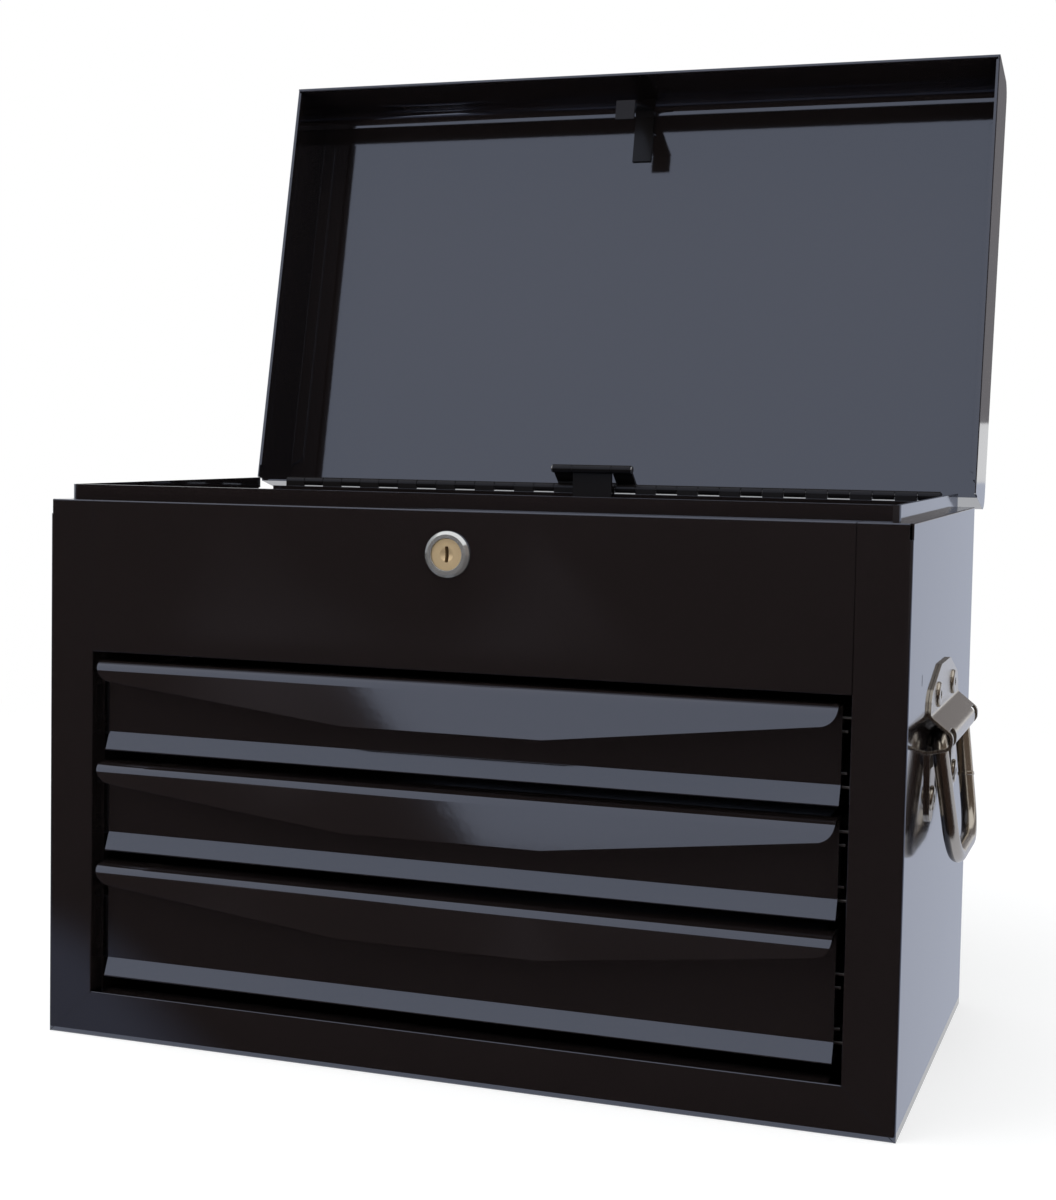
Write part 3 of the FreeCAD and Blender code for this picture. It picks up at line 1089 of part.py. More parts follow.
def make_lock():
    """Cam lock: body, plug, cam, screw and nut."""
    bezel = FRONT - S.bezel_height
    end = FRONT + S.lock_length
    bore = S.plug_radius + S.plug_play
    body = new_body("lock_body")
    profile = [
        (bezel, bore), (bezel, S.bezel_radius - S.bezel_chamfer), (bezel + S.bezel_chamfer, S.bezel_radius),
        (FRONT, S.bezel_radius), (FRONT, S.lock_radius), (end, S.lock_radius), (end, bore),
    ]
    turn(body, LOCK_Z, profile, "Revolution")

    plug = new_body("lock_plug")
    face = bezel + S.plug_recess
    profile = [
        (face + S.plug_cone_depth, 0), (face, S.plug_cone_radius), (face, S.plug_radius),
        (end, S.plug_radius),
        (end, 0),
    ]
    turn(plug, LOCK_Z, profile, "Revolution")
    half = S.tail_width / 2
    tail_end = end + S.cam_gap + S.cam_gauge - S.tail_play
    box_part(plug, (-half, half), (end, tail_end), (LOCK_Z - half, LOCK_Z + half))
    slot = S.keyway_width / 2
    box_cut(plug, (-slot, slot), (face - S.overrun, face + S.keyway_depth),
            (LOCK_Z - S.keyway_height / 2, LOCK_Z + S.keyway_height / 2))
    cut(plug, "front", tail_end - S.screw_length, tail_end + S.overrun, [], [(0, LOCK_Z, S.screw_radius)])

    cam = new_body("lock_cam")
    cam_front = end + S.cam_gap
    cam_back = cam_front + S.cam_gauge
    hub = S.cam_hub_radius
    far = S.cam_arm_inner + S.cam_arm_width
    tip = S.cam_hook_radius + S.cam_hook_height
    add(cam, "front", cam_front, cam_back, [], [(0, LOCK_Z, hub)])
    arm = [
        (0, LOCK_Z - hub), (hub, LOCK_Z - far), (tip, LOCK_Z - far), (tip, LOCK_Z + S.cam_hook_length),
        (S.cam_hook_radius, LOCK_Z + S.cam_hook_length), (S.cam_hook_radius, LOCK_Z - S.cam_arm_inner),
        (hub, LOCK_Z - S.cam_arm_inner), (hub, LOCK_Z), (0, LOCK_Z),
    ]
    add(cam, "front", cam_front, cam_back, [arm])
    round_edges(cam, S.cam_corner, lambda c, r: along(r, 1) and near(c.x, tip))
    square = half + S.tail_play
    cut(cam, "front", cam_front - S.overrun, cam_back + S.overrun,
        [box_loop(-square, square, LOCK_Z - square, LOCK_Z + square)])

    screw = new_body("cam_screw")
    head_end = cam_back + S.screw_head_height
    shank_end = tail_end - S.screw_length
    profile = [
        (shank_end, 0), (shank_end, S.screw_radius), (cam_back, S.screw_radius),
        (cam_back, S.screw_head_radius),
        (head_end - S.edge_round, S.screw_head_radius), (head_end, S.screw_head_radius - S.edge_round),
        (head_end, 0),
    ]
    turn(screw, LOCK_Z, profile, "Revolution")
    box_cut(screw, (-slot, slot), (cam_back + S.screw_head_height / 2, head_end + S.overrun),
            (LOCK_Z - S.screw_head_radius - S.overrun, LOCK_Z + S.screw_head_radius + S.overrun))

    nut = new_body("lock_nut")
    seat = TRAY_FRONT + S.sheet
    flat = S.nut_across / 2
    corner = S.nut_across / root_of(3)
    hexagon = [
        (corner, LOCK_Z), (corner / 2, LOCK_Z + flat), (-corner / 2, LOCK_Z + flat), (-corner, LOCK_Z),
        (-corner / 2, LOCK_Z - flat), (corner / 2, LOCK_Z - flat),
    ]
    add(nut, "front", seat, seat + S.nut_height, [hexagon], [(0, LOCK_Z, S.lock_radius + S.nut_play)])


def rivet_places():
    """The four rivets of a handle bracket in Y and Z."""
    upper = S.handle_height + S.ear_rivet_rise
    lower = S.handle_height - S.foot_rivet_drop
    return [
        (S.ear_rivet_half, upper), (-S.ear_rivet_half, upper),
        (S.foot_rivet_half, lower), (-S.foot_rivet_half, lower),
    ]


def make_handle(side, name):
    """Stamped bracket, its rivets and the wire bail."""
    axis = S.handle_height
    wall = HALF_WIDTH
    gauge = S.plate_gauge
    bracket = new_body("handle_bracket_" + name)
    top, bottom, nose = axis + S.hood_rise, axis - S.hood_fall, S.hood_nose
    reach = nose + gauge
    upper = (S.hood_rise - S.hood_shoulder) / reach
    lower = (S.hood_fall - S.hood_chin) / reach
    inner_top = top - gauge * root_of(as_size(1) + upper * upper)
    inner_bottom = bottom + gauge * root_of(as_size(1) + lower * lower)
    hood = [
        (wall, top), (wall + reach, axis + S.hood_shoulder), (wall + reach, axis - S.hood_chin),
        (wall, bottom),
        (wall, inner_bottom), (wall + nose, inner_bottom + lower * nose),
        (wall + nose, inner_top - upper * nose), (wall, inner_top),
    ]
    add(bracket, "front", -S.hood_half, S.hood_half, [side_loop(side, hood)])
    round_edges(bracket, S.hood_bend - gauge, lambda c, r: along(r, 1) and near(abs(c.x), wall + nose))
    round_edges(bracket, S.hood_bend, lambda c, r: along(r, 1) and near(abs(c.x), wall + reach))
    ear = [
        (-S.hood_half, inner_top), (S.hood_half, inner_top), (S.hood_half, axis + S.ear_shoulder),
        (S.ear_peak_half, axis + S.ear_height), (-S.ear_peak_half, axis + S.ear_height),
        (-S.hood_half, axis + S.ear_shoulder),
    ]
    tip = S.foot_rivet_half
    foot = [
        (S.foot_inner, inner_bottom), (S.hood_half, inner_bottom),
        (tip + S.foot_tip_half, axis - S.foot_drop), (tip - S.foot_tip_half, axis - S.foot_drop),
    ]
    low, high = side_span(side, wall, wall + gauge)
    add(bracket, "side", low, high, [ear, foot, side_loop(-1, foot)])
    for level in (top - upper * gauge, bottom + lower * gauge):
        round_edges(bracket, S.hood_neck,
                    lambda c, r: along(r, 1) and near(abs(c.x), wall + gauge) and near(c.z, level))
    round_edges(bracket, S.ear_corner,
                lambda c, r: along(r, 0) and near(c.z, axis + S.ear_shoulder)
                and near(abs(c.y), S.hood_half))
    round_edges(bracket, S.ear_corner, lambda c, r: along(r, 0) and near(c.z, axis + S.ear_height))
    round_edges(bracket, S.foot_tip_half - S.rivet_play,
                lambda c, r: along(r, 0) and near(c.z, axis - S.foot_drop))
    leg = box_loop(S.hood_slot_inner, S.hood_slot_outer, axis - S.slot_drop,
                   axis + S.wire_radius + S.wire_play)
    low, high = side_span(side, wall - S.overrun, wall + reach + S.overrun)
    cut(bracket, "side", low, high, [leg, side_loop(-1, leg)])
    cut(bracket, "side", low, high, [], [(y, z, S.rivet_radius + S.rivet_play) for y, z in rivet_places()])

    rivets = new_body("handle_rivets_" + name)
    rivets.AllowCompound = True
    plate = wall + gauge
    levels = (
        (INNER_HALF - S.rivet_tail_height, INNER_HALF, S.rivet_tail_radius),
        (INNER_HALF, plate, S.rivet_radius),
        (plate, plate + S.rivet_head_height, S.rivet_head_radius),
    )
    for bottom, upper, radius in levels:
        low, high = side_span(side, bottom, upper)
        add(rivets, "side", low, high, [], [(y, z, radius) for y, z in rivet_places()])
    round_rings(rivets, S.rivet_head_height - S.rivet_play,
                lambda c, r: near(r, S.rivet_head_radius) and near(abs(c.x), plate + S.rivet_head_height))
    face = plate + S.rivet_head_height
    low, high = side_span(side, face - S.rivet_dimple_depth, face + S.overrun)
    cut(rivets, "side", low, high, [], [(y, z, S.rivet_dimple_radius) for y, z in rivet_places()])


def rounded_ring(corners, radii):
    """A closed wire through corners in the Y and Z plane with its corners rounded."""
    edges = []
    stops = []
    count = len(corners)
    for i in range(count):
        here = corners[i]
        back = (corners[i - 1] - here).normalize()
        on = (corners[(i + 1) % count] - here).normalize()
        half_angle = math.acos(max(-1.0, min(1.0, back.dot(on)))) / 2
        run = radii[i] / math.tan(half_angle)
        way = (back + on).normalize()
        middle = here + way * (radii[i] / math.sin(half_angle))
        stops.append((here + back * run, middle - way * radii[i], here + on * run))
    for i in range(count):
        start, through, stop = stops[i]
        edges.append(Part.Arc(start, through, stop).toShape())
        edges.append(Part.makeLine(stop, stops[(i + 1) % count][0]))
    return Part.Wire(edges)


def make_bail(side, name):
    """Closed wire loop with a butt weld on one leg, leaning on the rivet heads."""
    radius = S.wire_radius.value
    top, foot, drop = S.bail_top_half.value, S.bail_foot_half.value, S.bail_drop.value
    corners = [FreeCAD.Vector(0, y, z) for y, z in ((top, 0), (foot, -drop), (-foot, -drop), (-top, 0))]
    bend, wide = S.bail_top_bend.value, S.bail_foot_bend.value
    path = rounded_ring(corners, [bend, wide, wide, bend])
    start = path.Edges[1].Vertexes[0].Point
    leg = (corners[1] - corners[0]).normalize()
    ring = Part.Wire([Part.makeCircle(radius, start, leg)])
    loop = path.makePipeShell([ring], True, True)
    bead_middle = (corners[0] + corners[1]) / 2 - leg * S.weld_bead_height.value / 2
    bead = Part.makeCylinder(radius + S.weld_bead_proud.value, S.weld_bead_height.value, bead_middle, leg)
    rings = [e for e in bead.Edges if isinstance(e.Curve, Part.Circle)]
    bead = bead.makeFillet(S.weld_bead_proud.value / 2, rings)
    loop = loop.fuse(bead).removeSplitter()
    bail = doc.addObject("Part::Feature", "bail_" + name)
    bail.Label = "bail_" + name
    bail.Shape = loop
    PARTS[bail.Label] = bail
    stand = S.wire_radius + S.wire_play
    tilt = S.bail_tilt * side
    bail.Placement = FreeCAD.Placement(FreeCAD.Vector(0, 0, 0), FreeCAD.Rotation(FreeCAD.Vector(0, 1, 0), 1))
    bail.setExpression("Placement.Rotation.Angle", (-tilt).text)
    bail.setExpression("Placement.Base.x", ((HALF_WIDTH + stand) * side).text)
    bail.setExpression("Placement.Base.z", S.handle_height.text)


make_body_shell()
make_base_pan()
make_fascia()
make_tray()
for side, name in ((1, "right"), (-1, "left")):
    make_runner(side, "runner_panel_" + name)
    make_handle(side, name)
    make_bail(side, name)
    for number in range(len(DRAWER_TOPS)):
        make_slide(side, name, number)
for number in range(len(DRAWER_TOPS)):
    make_drawer_front(number)
    make_drawer_box(number)
    make_drawer_catch(number)
make_hinge()
make_lid()
make_lid_catch()
make_lock_bar()
make_bar_guide("bar_guide_upper", UPPER_GUIDE)
make_bar_guide("bar_guide_lower", LOWER_GUIDE)
make_lock()

doc.recompute()
for thing in doc.Objects:
    if "Invalid" in thing.State or "Error" in thing.State:
        print("not computed:", thing.Label, thing.State)

os.makedirs("parts", exist_ok=True)
for label, thing in PARTS.items():
    shape = thing.Shape
    if shape.isNull() or not shape.isValid() or not shape.Solids:
        print("bad shape:", label)
    shape.exportStep("parts/%s.step" % label)
print(len(PARTS), "parts")
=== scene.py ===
import bpy
from mathutils import Matrix, Vector

# Looks of the machinist tool chest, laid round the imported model. Metres, Z up, front towards -Y.

bl_info = {
    "name": "Tool Chest Dresser",
    "version": (1, 0, 0),
    "blender": (4, 5, 0),
    "location": "View3D > Sidebar > Chest",
    "description": "Paints and finishes a steel machinist tool chest and sets it in a studio",
    "category": "Object",
}

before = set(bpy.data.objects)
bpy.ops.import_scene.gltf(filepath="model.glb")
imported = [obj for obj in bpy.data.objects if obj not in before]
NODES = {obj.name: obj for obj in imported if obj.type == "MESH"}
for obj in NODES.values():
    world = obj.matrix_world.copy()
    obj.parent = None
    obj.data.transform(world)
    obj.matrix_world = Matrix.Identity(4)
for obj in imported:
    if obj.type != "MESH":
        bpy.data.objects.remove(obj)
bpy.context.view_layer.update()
MM = 0.001

# Indices of the two paints, and radii in millimetres to which shading rounds an edge
GLOSS_INDEX = 2.0
DULL_INDEX = 1.32
PAINT_EDGE = 0.15
PLATED_EDGE = 0.3

# Features per metre of the noises: tone of the paint, its orange peel, and marks in plating
CLOUD_SCALE = 14.0
PEEL_SCALE = 300.0
GRAIN_SCALE = 260.0

# Floor near the chest: a grey that takes the shadow, a glow that lifts it to white, and the distances
# from the middle between which it turns into plain white
FLOOR_GREY = 0.4
FLOOR_GLOW = 0.68
FLOOR_FADE = (0.35, 1.1)

# Lines just outside the chest's front and right side where the cards on the floor begin, and their height
FRONT_LINE = -0.1035
RIGHT_LINE = 0.1755
LIFT = 0.002

# Tones that the cards glow with, which only reflections see: painted reflections round the chest
ROOM_TONE = (0.035, 0.023, 0.019)
# Brownish glow in soft patches on the card in front to the left: painted brownish reflections in the chest's
# front
WALL_TONE = (0.15, 0.12, 0.105)
SIDE_TONE = (0.15, 0.12, 0.1)
FAR_TONE = (0.23, 0.22, 0.23)
# Pale bluish glow of the card on the floor right of the chest: a painted pale reflection in the right side
# panel
PALE_REFLECTION_TONE = (0.62, 0.66, 0.77)
# Glow of the floor card beside the left foot: a painted slate sheen on the lower left of the chest's front
FOOT_TONE = (0.22, 0.23, 0.27)

# Power of the fill lamp as a share of the key lamp's
FILL_SHARE = 0.35


class Wire:
    """A shader socket that can be used in sums."""

    def __init__(self, tree, socket):
        self.tree = tree
        self.socket = socket

    def _sum(self, operation, first, second):
        return self.tree.node("ShaderNodeMath", {"operation": operation}, {0: first, 1: second})

    def __add__(self, other):
        return self._sum("ADD", self, other)

    def __radd__(self, other):
        return self._sum("ADD", other, self)

    def __sub__(self, other):
        return self._sum("SUBTRACT", self, other)

    def __rsub__(self, other):
        return self._sum("SUBTRACT", other, self)

    def __mul__(self, other):
        return self._sum("MULTIPLY", self, other)

    def __rmul__(self, other):
        return self._sum("MULTIPLY", other, self)


class Finish:
    """The nodes of a material, or of a world, that end in one shader."""

    def __init__(self, name, world=False):
        self.block = (bpy.data.worlds if world else bpy.data.materials).new(name)
        self.block.use_nodes = True
        self.nodes = self.block.node_tree.nodes
        self.links = self.block.node_tree.links
        self.nodes.clear()
        self.output = self.nodes.new("ShaderNodeOutputWorld" if world else "ShaderNodeOutputMaterial")

    def node(self, kind, settings=None, values=None, out=0):
        """Adds a node, sets its settings, then its sockets by value or link."""
        made = self.nodes.new(kind)
        for key, value in (settings or {}).items():
            setattr(made, key, value)
        for key, value in (values or {}).items():
            if isinstance(value, Wire):
                self.links.new(value.socket, made.inputs[key])
            elif value is not None:
                made.inputs[key].default_value = value
        return Wire(self, made.outputs[out])

    def place(self):
        """The piece's own coordinates, in metres."""
        return self.node("ShaderNodeTexCoord", out="Object")

    def axes(self):
        """The piece's own X, Y and Z."""
        split = self.nodes.new("ShaderNodeSeparateXYZ")
        self.links.new(self.place().socket, split.inputs["Vector"])
        return [Wire(self, output) for output in split.outputs]

    def noise(self, scale, detail):
        """A noise from 0 to 1 over the piece."""
        return self.node("ShaderNodeTexNoise", None,
                         {"Vector": self.place(), "Scale": scale, "Detail": detail})

    def blend(self, share, first, second):
        """A colour between two, by a share from 0 to 1."""
        return self.node("ShaderNodeMix", {"data_type": "RGBA"},
                         {0: share, 6: colour4(first), 7: colour4(second)}, out=2)

    def relief(self, height, strength, edge):
        """A tenth of a millimetre of relief on edges rounded by a radius in millimetres."""
        rounded = self.node("ShaderNodeBevel", {"samples": 6}, {"Radius": edge * MM})
        return self.node("ShaderNodeBump", None,
                         {"Height": height, "Strength": strength, "Distance": 0.1 * MM, "Normal": rounded})

    def seen(self):
        """1 for rays from the camera, off gloss or through glass."""
        path = self.nodes.new("ShaderNodeLightPath")
        camera, glossy, through = [Wire(self, path.outputs["Is " + kind + " Ray"])
                                   for kind in ("Camera", "Glossy", "Transmission")]
        return camera + glossy + through

    def end(self, shader):
        """Ends the nodes with a shader, and gives their material or world."""
        self.links.new(shader.socket, self.output.inputs["Surface"])
        return self.block

    def surface(self, **sockets):
        """Ends the nodes with a principled shader."""
        values = {key.replace("_", " "): value for key, value in sockets.items()}
        return self.end(self.node("ShaderNodeBsdfPrincipled", None, values))


def colour4(values):
    """Three numbers of a colour as the four of a socket."""
    return (*values, 1.0)


def enamel_coat(name, colour, gloss, sheen, index):
    """Baked enamel with a faint orange peel and soft highlights on the folded edges."""
    paint = Finish(name)
    cloud = paint.noise(CLOUD_SCALE, 3.0)
    base = paint.blend(cloud, colour, [c * 1.25 for c in colour])
    peel = paint.relief(paint.noise(PEEL_SCALE, 1.0), 0.05, PAINT_EDGE)
    # The sheen tints the reflections: the cool colour of the studio light painted into the paint
    return paint.surface(Base_Color=base, Roughness=gloss + cloud * 0.03, IOR=index,
                         Specular_Tint=colour4(sheen), Normal=peel)


def plated_metal(name, colour, rough, edge=PLATED_EDGE, bare=1.0):
    """Plated metal with fine marks. A lower share of bare metal looks satin."""
    metal = Finish(name)
    grain = metal.noise(GRAIN_SCALE, 3.0)
    base = metal.blend(grain, [c * 0.9 for c in colour], colour)
    return metal.surface(Base_Color=base, Metallic=bare, Roughness=rough + grain * 0.06,
                         Normal=metal.relief(grain, 0.04, edge))


def dress(starts, material):
    """Gives a material to the frame's nodes whose names start with one of the words."""
    for name in sorted(NODES):
        if name.startswith(starts):
            NODES[name].data.materials.clear()
            NODES[name].data.materials.append(material)


def once(name, make):
    """A material by its name, made the first time it is asked for."""
    return bpy.data.materials.get(name) or make(name)


def gloss_black(context):
    """Paint of the sheet metal."""
    look = context.scene.chest_finishes
    return once("black_enamel",
                lambda name: enamel_coat(name, look.enamel, look.gloss, look.sheen, GLOSS_INDEX))


def dull_black(context):
    """Paint of the hinge, the lock bar and the catches."""
    look = context.scene.chest_finishes
    return once("bar_paint", lambda name: enamel_coat(name, look.bar_paint, 0.2, look.sheen, DULL_INDEX))


def zinc_plate(context):
    """Plating of the slides and small fittings."""
    look = context.scene.chest_finishes
    return once("zinc_plate", lambda name: plated_metal(name, look.zinc, 0.3))


class ChestFinishes(bpy.types.PropertyGroup):
    """Colours of the chest."""

    enamel: bpy.props.FloatVectorProperty(name="Enamel", description="Gloss paint of the sheet metal",
                                          subtype="COLOR", default=(0.0098, 0.0074, 0.0072))
    # Sheen: the cool colour of the studio light, painted into the paint's reflections as a tint
    sheen: bpy.props.FloatVectorProperty(name="Sheen", description="Tint of the enamel's reflections",
                                         subtype="COLOR", default=(0.65, 0.735, 0.96))
    gloss: bpy.props.FloatProperty(name="Enamel roughness", description="Lower is shinier",
                                   subtype="FACTOR", default=0.05, min=0.0, max=1.0)
    bar_paint: bpy.props.FloatVectorProperty(name="Bar paint", description="Lock bar, bracket and hinge",
                                             subtype="COLOR", default=(0.009, 0.0078, 0.0076))
    nickel: bpy.props.FloatVectorProperty(name="Nickel", description="Side handles", subtype="COLOR",
                                          default=(0.50, 0.455, 0.39))
    chrome: bpy.props.FloatVectorProperty(name="Chrome", description="Lock body", subtype="COLOR",
                                          default=(0.7, 0.71, 0.71))
    plug: bpy.props.FloatVectorProperty(name="Plug", description="Lock plug", subtype="COLOR",
                                        default=(0.66, 0.5, 0.3))
    zinc: bpy.props.FloatVectorProperty(name="Zinc", description="Slides and small fittings",
                                        subtype="COLOR", default=(0.30, 0.30, 0.31))


class ChestStage(bpy.types.PropertyGroup):
    """Camera, lamps and cards of the studio."""

    lens: bpy.props.FloatProperty(name="Lens", description="Focal length in millimetres", default=71.52)
    shift_x: bpy.props.FloatProperty(name="Shift across", description="Camera shift", default=0.1333)
    shift_y: bpy.props.FloatProperty(name="Shift up", description="Camera shift", default=-0.0348)
    camera: bpy.props.FloatVectorProperty(name="Camera", description="Place of the camera", subtype="XYZ",
                                          unit="LENGTH", default=(0.2718, -0.8619, 0.2538))
    turn: bpy.props.FloatVectorProperty(name="Turn", description="Rotation vector into the camera",
                                        subtype="XYZ", default=(1.60985, 0.31569, -0.27449))
    sky: bpy.props.FloatProperty(name="Sky", description="Strength of the plain light all round",
                                 default=0.55, min=0.0)
    key: bpy.props.FloatProperty(name="Key", description="Power of the lamp overhead", unit="POWER",
                                 default=34.0, min=0.0)


class CHEST_OT_carcass(bpy.types.Operator):
    """Paint the carcass, its fascia, tray and runner panels"""

    bl_idname = "chest.carcass"
    bl_label = "Paint the carcass"

    def execute(self, context):
        dress(("body_shell", "base_pan", "front_fascia", "top_tray", "runner_panel"), gloss_black(context))
        return {"FINISHED"}


class CHEST_OT_lid(bpy.types.Operator):
    """Paint the lid and its end caps, and the catch under its rim"""

    bl_idname = "chest.lid"
    bl_label = "Paint the lid"

    def execute(self, context):
        dress(("lid_wrap", "lid_cap"), gloss_black(context))
        dress(("lid_catch",), dull_black(context))
        return {"FINISHED"}


class CHEST_OT_drawers(bpy.types.Operator):
    """Paint the drawers and the catches on their backs"""

    bl_idname = "chest.drawers"
    bl_label = "Paint the drawers"

    def execute(self, context):
        dress(("drawer_front", "drawer_box"), gloss_black(context))
        dress(("drawer_catch",), dull_black(context))
        return {"FINISHED"}


class CHEST_OT_linkage(bpy.types.Operator):
    """Finish the piano hinge and the lock bar with its bracket, hooks and guides"""

    bl_idname = "chest.linkage"
    bl_label = "Finish the hinge and lock bar"

    def execute(self, context):
        dress(("hinge_body_leaf", "hinge_lid_leaf", "lock_bar", "lock_hook", "bar_bracket", "bar_guide"),
              dull_black(context))
        dress(("bar_pin", "hinge_pin"), zinc_plate(context))
        return {"FINISHED"}


class CHEST_OT_slides(bpy.types.Operator):
    """Finish the ball slides"""

    bl_idname = "chest.slides"
    bl_label = "Finish the ball slides"

    def execute(self, context):
        dress(("slide_", "ball_cage"), zinc_plate(context))
        return {"FINISHED"}


class CHEST_OT_lock(bpy.types.Operator):
    """Finish the cam lock"""

    bl_idname = "chest.lock"
    bl_label = "Finish the lock"

    def execute(self, context):
        look = context.scene.chest_finishes
        dress(("lock_cam", "lock_nut", "cam_screw"), zinc_plate(context))
        dress(("lock_body",), plated_metal("chrome_plate", look.chrome, 0.1, edge=0.15, bare=0.8))
        dress(("lock_plug",), plated_metal("plug_metal", look.plug, 0.36, edge=0.1, bare=0.5))
        return {"FINISHED"}


class CHEST_OT_handles(bpy.types.Operator):
    """Finish the side handles"""

    bl_idname = "chest.handles"
    bl_label = "Finish the handles"

    def execute(self, context):
        look = context.scene.chest_finishes
        dress(("handle_", "bail_"), plated_metal("nickel_plate", look.nickel, 0.2))
        return {"FINISHED"}


class CHEST_OT_stage(bpy.types.Operator):
    """Set the floor, lights, cards and camera"""

    bl_idname = "chest.stage"
    bl_label = "Set the studio"

    def execute(self, context):
        stage = context.scene.chest_stage
        self.floor()
        self.world(context.scene, stage.sky)
        self.cards()
        self.lamps(stage.key)
        self.camera(context.scene, stage)
        context.scene.view_settings.view_transform = "Standard"
        return {"FINISHED"}

    def floor(self):
        """A pale floor that keeps the shadow and joins the white background."""
        floor = self.sheet("studio_floor", ((-12, -12, 0), (12, -12, 0), (-12, 12, 0), (12, 12, 0)))
        felt = Finish("studio_floor")
        pale = felt.node("ShaderNodeBsdfDiffuse", None, {"Color": (0.8, 0.8, 0.8, 1)})
        soft = felt.node("ShaderNodeBsdfDiffuse", None, {"Color": colour4([FLOOR_GREY] * 3)})
        glow = felt.node("ShaderNodeEmission", None, {"Color": (1, 1, 1, 1), "Strength": FLOOR_GLOW})
        far = felt.node("ShaderNodeEmission", None, {"Color": (1, 1, 1, 1), "Strength": 1.0})
        near = felt.node("ShaderNodeAddShader", None, {0: soft, 1: glow})
        reach = felt.node("ShaderNodeVectorMath", {"operation": "LENGTH"}, {0: felt.place()}, out=1)
        share = felt.node("ShaderNodeMapRange", {"interpolation_type": "SMOOTHSTEP"},
                          {"Value": reach, "From Min": FLOOR_FADE[0], "From Max": FLOOR_FADE[1]})
        white = felt.node("ShaderNodeMixShader", None, {0: share, 1: near, 2: far})
        mixed = felt.node("ShaderNodeMixShader", None, {0: felt.seen(), 1: pale, 2: white})
        floor.data.materials.append(felt.end(mixed))

    def world(self, scene, strength):
        """White all round, and a plain level of light on the object."""
        air = Finish("studio", world=True)
        plain = air.node("ShaderNodeBackground", None, {"Color": (0.96, 0.98, 1.0, 1), "Strength": strength})
        white = air.node("ShaderNodeBackground", None, {"Color": (1, 1, 1, 1), "Strength": 1.0})
        mixed = air.node("ShaderNodeMixShader", None, {0: air.seen(), 1: plain, 2: white})
        scene.world = air.end(mixed)

    def cards(self):
        """Glowing cards that only reflections see: painted reflections, from dark to pale, in the chest's
        glossy paint and plating.
        """
        room = self.card("black_card", ROOM_TONE)
        side = self.card("dim_card", SIDE_TONE)
        far = self.card("grey_card", FAR_TONE)
        bench = self.card("pale_card", PALE_REFLECTION_TONE)
        # A glowing card in front to the left: painted brownish reflections in soft patches
        wall = self.card("brown_card", ROOM_TONE, WALL_TONE, self.patches)
        # A glowing card on the floor in front, paler beside the left foot: painted sheen in the chest's
        # front
        foot = self.card("foot_sheen_card", ROOM_TONE, FOOT_TONE, self.left_foot)
        for name, corners, card in (
            ("card_floor", self.flat(-7, 5, -12, FRONT_LINE), foot),
            # A pale glowing card right of the chest: painted pale reflection in the side panel
            ("card_pale_reflection", self.flat(RIGHT_LINE, 6, FRONT_LINE, 12), bench),
            ("card_front", self.upright((-5, -3), (4, -3), 0, 0.28), room),
            ("card_left", ((-2.5, -1.6, 0), (-0.3, -1.6, 0), (-2.5, -1.6, 0.6), (-0.85, -1.6, 0.6)), wall),
            ("card_right", self.upright((0.4, -1.5), (3, -1.5), 0, 2), side),
            ("card_side", self.upright((2.6, -1.5), (2.6, 0.9), 0, 2), side),
            ("card_back", self.upright((0.15, 2.5), (4.2, 2.5), 0.28, 2.8), far),
        ):
            plane = self.sheet(name, corners)
            plane.data.materials.append(card)
            for kind in ("camera", "diffuse", "transmission", "volume_scatter", "shadow"):
                setattr(plane, "visible_" + kind, False)

    def flat(self, left, right, near, far):
        """Corners of a card that lies just above the floor."""
        return (left, near, LIFT), (right, near, LIFT), (left, far, LIFT), (right, far, LIFT)

    def upright(self, start, stop, foot, head):
        """Corners of a card that stands between two spots of the floor, from one height to another."""
        return (*start, foot), (*stop, foot), (*start, head), (*stop, head)

    def card(self, name, colour, second=None, share=None):
        """Card of one even tone, or of two that a share mixes."""
        card = Finish(name)
        tone = colour4(colour) if share is None else card.blend(share(card), colour, second)
        return card.end(card.node("ShaderNodeEmission", None, {"Color": tone, "Strength": 1.0}))

    def patches(self, card):
        """Broad soft patches of the painted brownish reflection."""
        return card.node("ShaderNodeMapRange", None, {"Value": card.noise(3.0, 1.0), "From Min": 0.45,
                                                      "From Max": 0.65})

    def left_foot(self, card):
        """The part of the floor beside the chest's left foot, where the card glows paler: a painted slate
        sheen in the lower left of the chest's front.
        """
        across, ahead, _ = card.axes()
        beside = card.node("ShaderNodeMapRange", {"interpolation_type": "SMOOTHSTEP"},
                           {"Value": 0.9 * ahead - across, "From Min": -0.01, "From Max": 0.05})
        close = card.node("ShaderNodeMapRange", {"interpolation_type": "SMOOTHSTEP"},
                          {"Value": ahead, "From Min": -0.34, "From Max": -0.2})
        return beside * close

    def sheet(self, name, corners):
        """A flat stage sheet between four corners."""
        bpy.ops.object.select_all(action="DESELECT")
        bpy.ops.mesh.primitive_plane_add(size=1.0, location=(0, 0, 0))
        made = bpy.context.object
        made.name = name
        for corner, spot in zip(made.data.vertices, corners):
            corner.co = spot
        return made

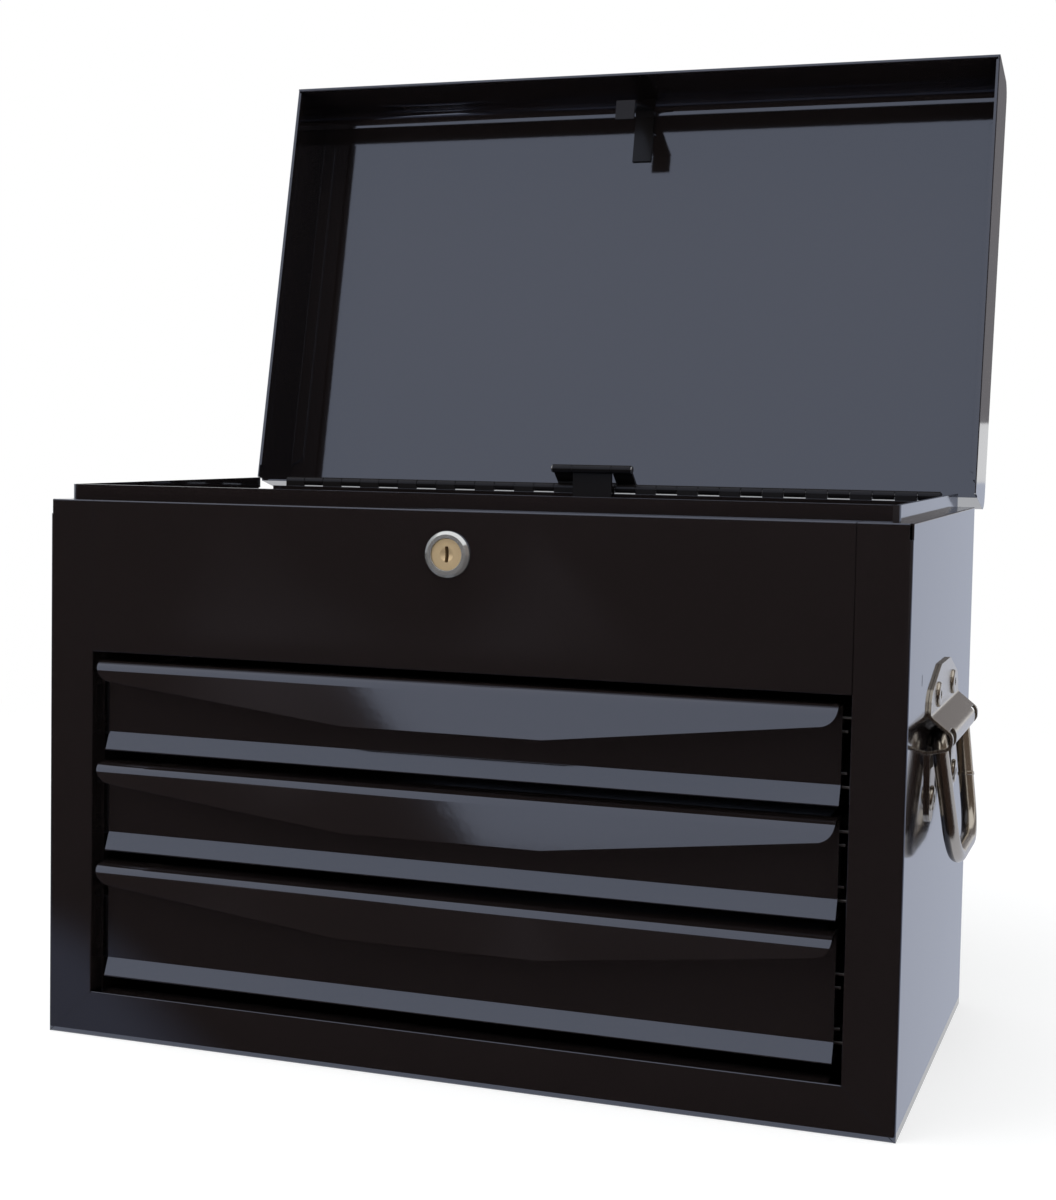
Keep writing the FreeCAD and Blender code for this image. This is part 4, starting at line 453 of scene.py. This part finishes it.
    def lamps(self, power):
        """A wide soft lamp overhead and a weaker one from the left."""
        for name, spot, aim, size, energy in (
            ("key_light", (-0.3, -0.5, 2.3), (0, 0, 0.1), (2.4, 1.2), power),
            ("fill_light", (-1.6, -1.8, 1.3), (0, 0, 0.15), (1.2, 1.2), power * FILL_SHARE),
        ):
            bpy.ops.object.light_add(type="AREA", location=spot)
            lamp = bpy.context.object
            lamp.name = name
            lamp.data.shape = "RECTANGLE"
            lamp.data.size, lamp.data.size_y = size
            lamp.data.energy = energy
            away = Vector(spot) - Vector(aim)
            lamp.rotation_euler = away.to_track_quat("Z", "Y").to_euler()
            lamp.visible_glossy = False

    def camera(self, scene, stage):
        """The camera that took the picture."""
        bpy.ops.object.camera_add(location=stage.camera)
        camera = bpy.context.object
        turn = Vector(stage.turn)
        into = Matrix.Rotation(turn.length, 3, turn.normalized())
        flip = Matrix(((1, 0, 0), (0, -1, 0), (0, 0, -1)))
        camera.rotation_euler = (flip @ into).transposed().to_euler()
        camera.data.sensor_fit = "HORIZONTAL"
        camera.data.sensor_width = 36.0
        camera.data.lens = stage.lens
        camera.data.shift_x = stage.shift_x
        camera.data.shift_y = stage.shift_y
        scene.camera = camera


class CHEST_PT_panel(bpy.types.Panel):
    """Buttons that dress the chest"""

    bl_label = "Chest"
    bl_space_type = "VIEW_3D"
    bl_region_type = "UI"
    bl_category = "Chest"

    def draw(self, context):
        for kind in OPERATORS:
            self.layout.operator(kind.bl_idname)


GROUPS = (ChestFinishes, ChestStage)
OPERATORS = (CHEST_OT_carcass, CHEST_OT_lid, CHEST_OT_drawers, CHEST_OT_linkage, CHEST_OT_slides,
             CHEST_OT_lock, CHEST_OT_handles, CHEST_OT_stage)


def register():
    for kind in GROUPS + OPERATORS + (CHEST_PT_panel,):
        bpy.utils.register_class(kind)
    bpy.types.Scene.chest_finishes = bpy.props.PointerProperty(type=ChestFinishes)
    bpy.types.Scene.chest_stage = bpy.props.PointerProperty(type=ChestStage)


def unregister():
    del bpy.types.Scene.chest_stage
    del bpy.types.Scene.chest_finishes
    for kind in reversed(GROUPS + OPERATORS + (CHEST_PT_panel,)):
        bpy.utils.unregister_class(kind)


def main():
    register()
    bpy.ops.chest.carcass()
    bpy.ops.chest.lid()
    bpy.ops.chest.drawers()
    bpy.ops.chest.linkage()
    bpy.ops.chest.slides()
    bpy.ops.chest.lock()
    bpy.ops.chest.handles()
    bpy.ops.chest.stage()


if __name__ == "__main__":
    main()
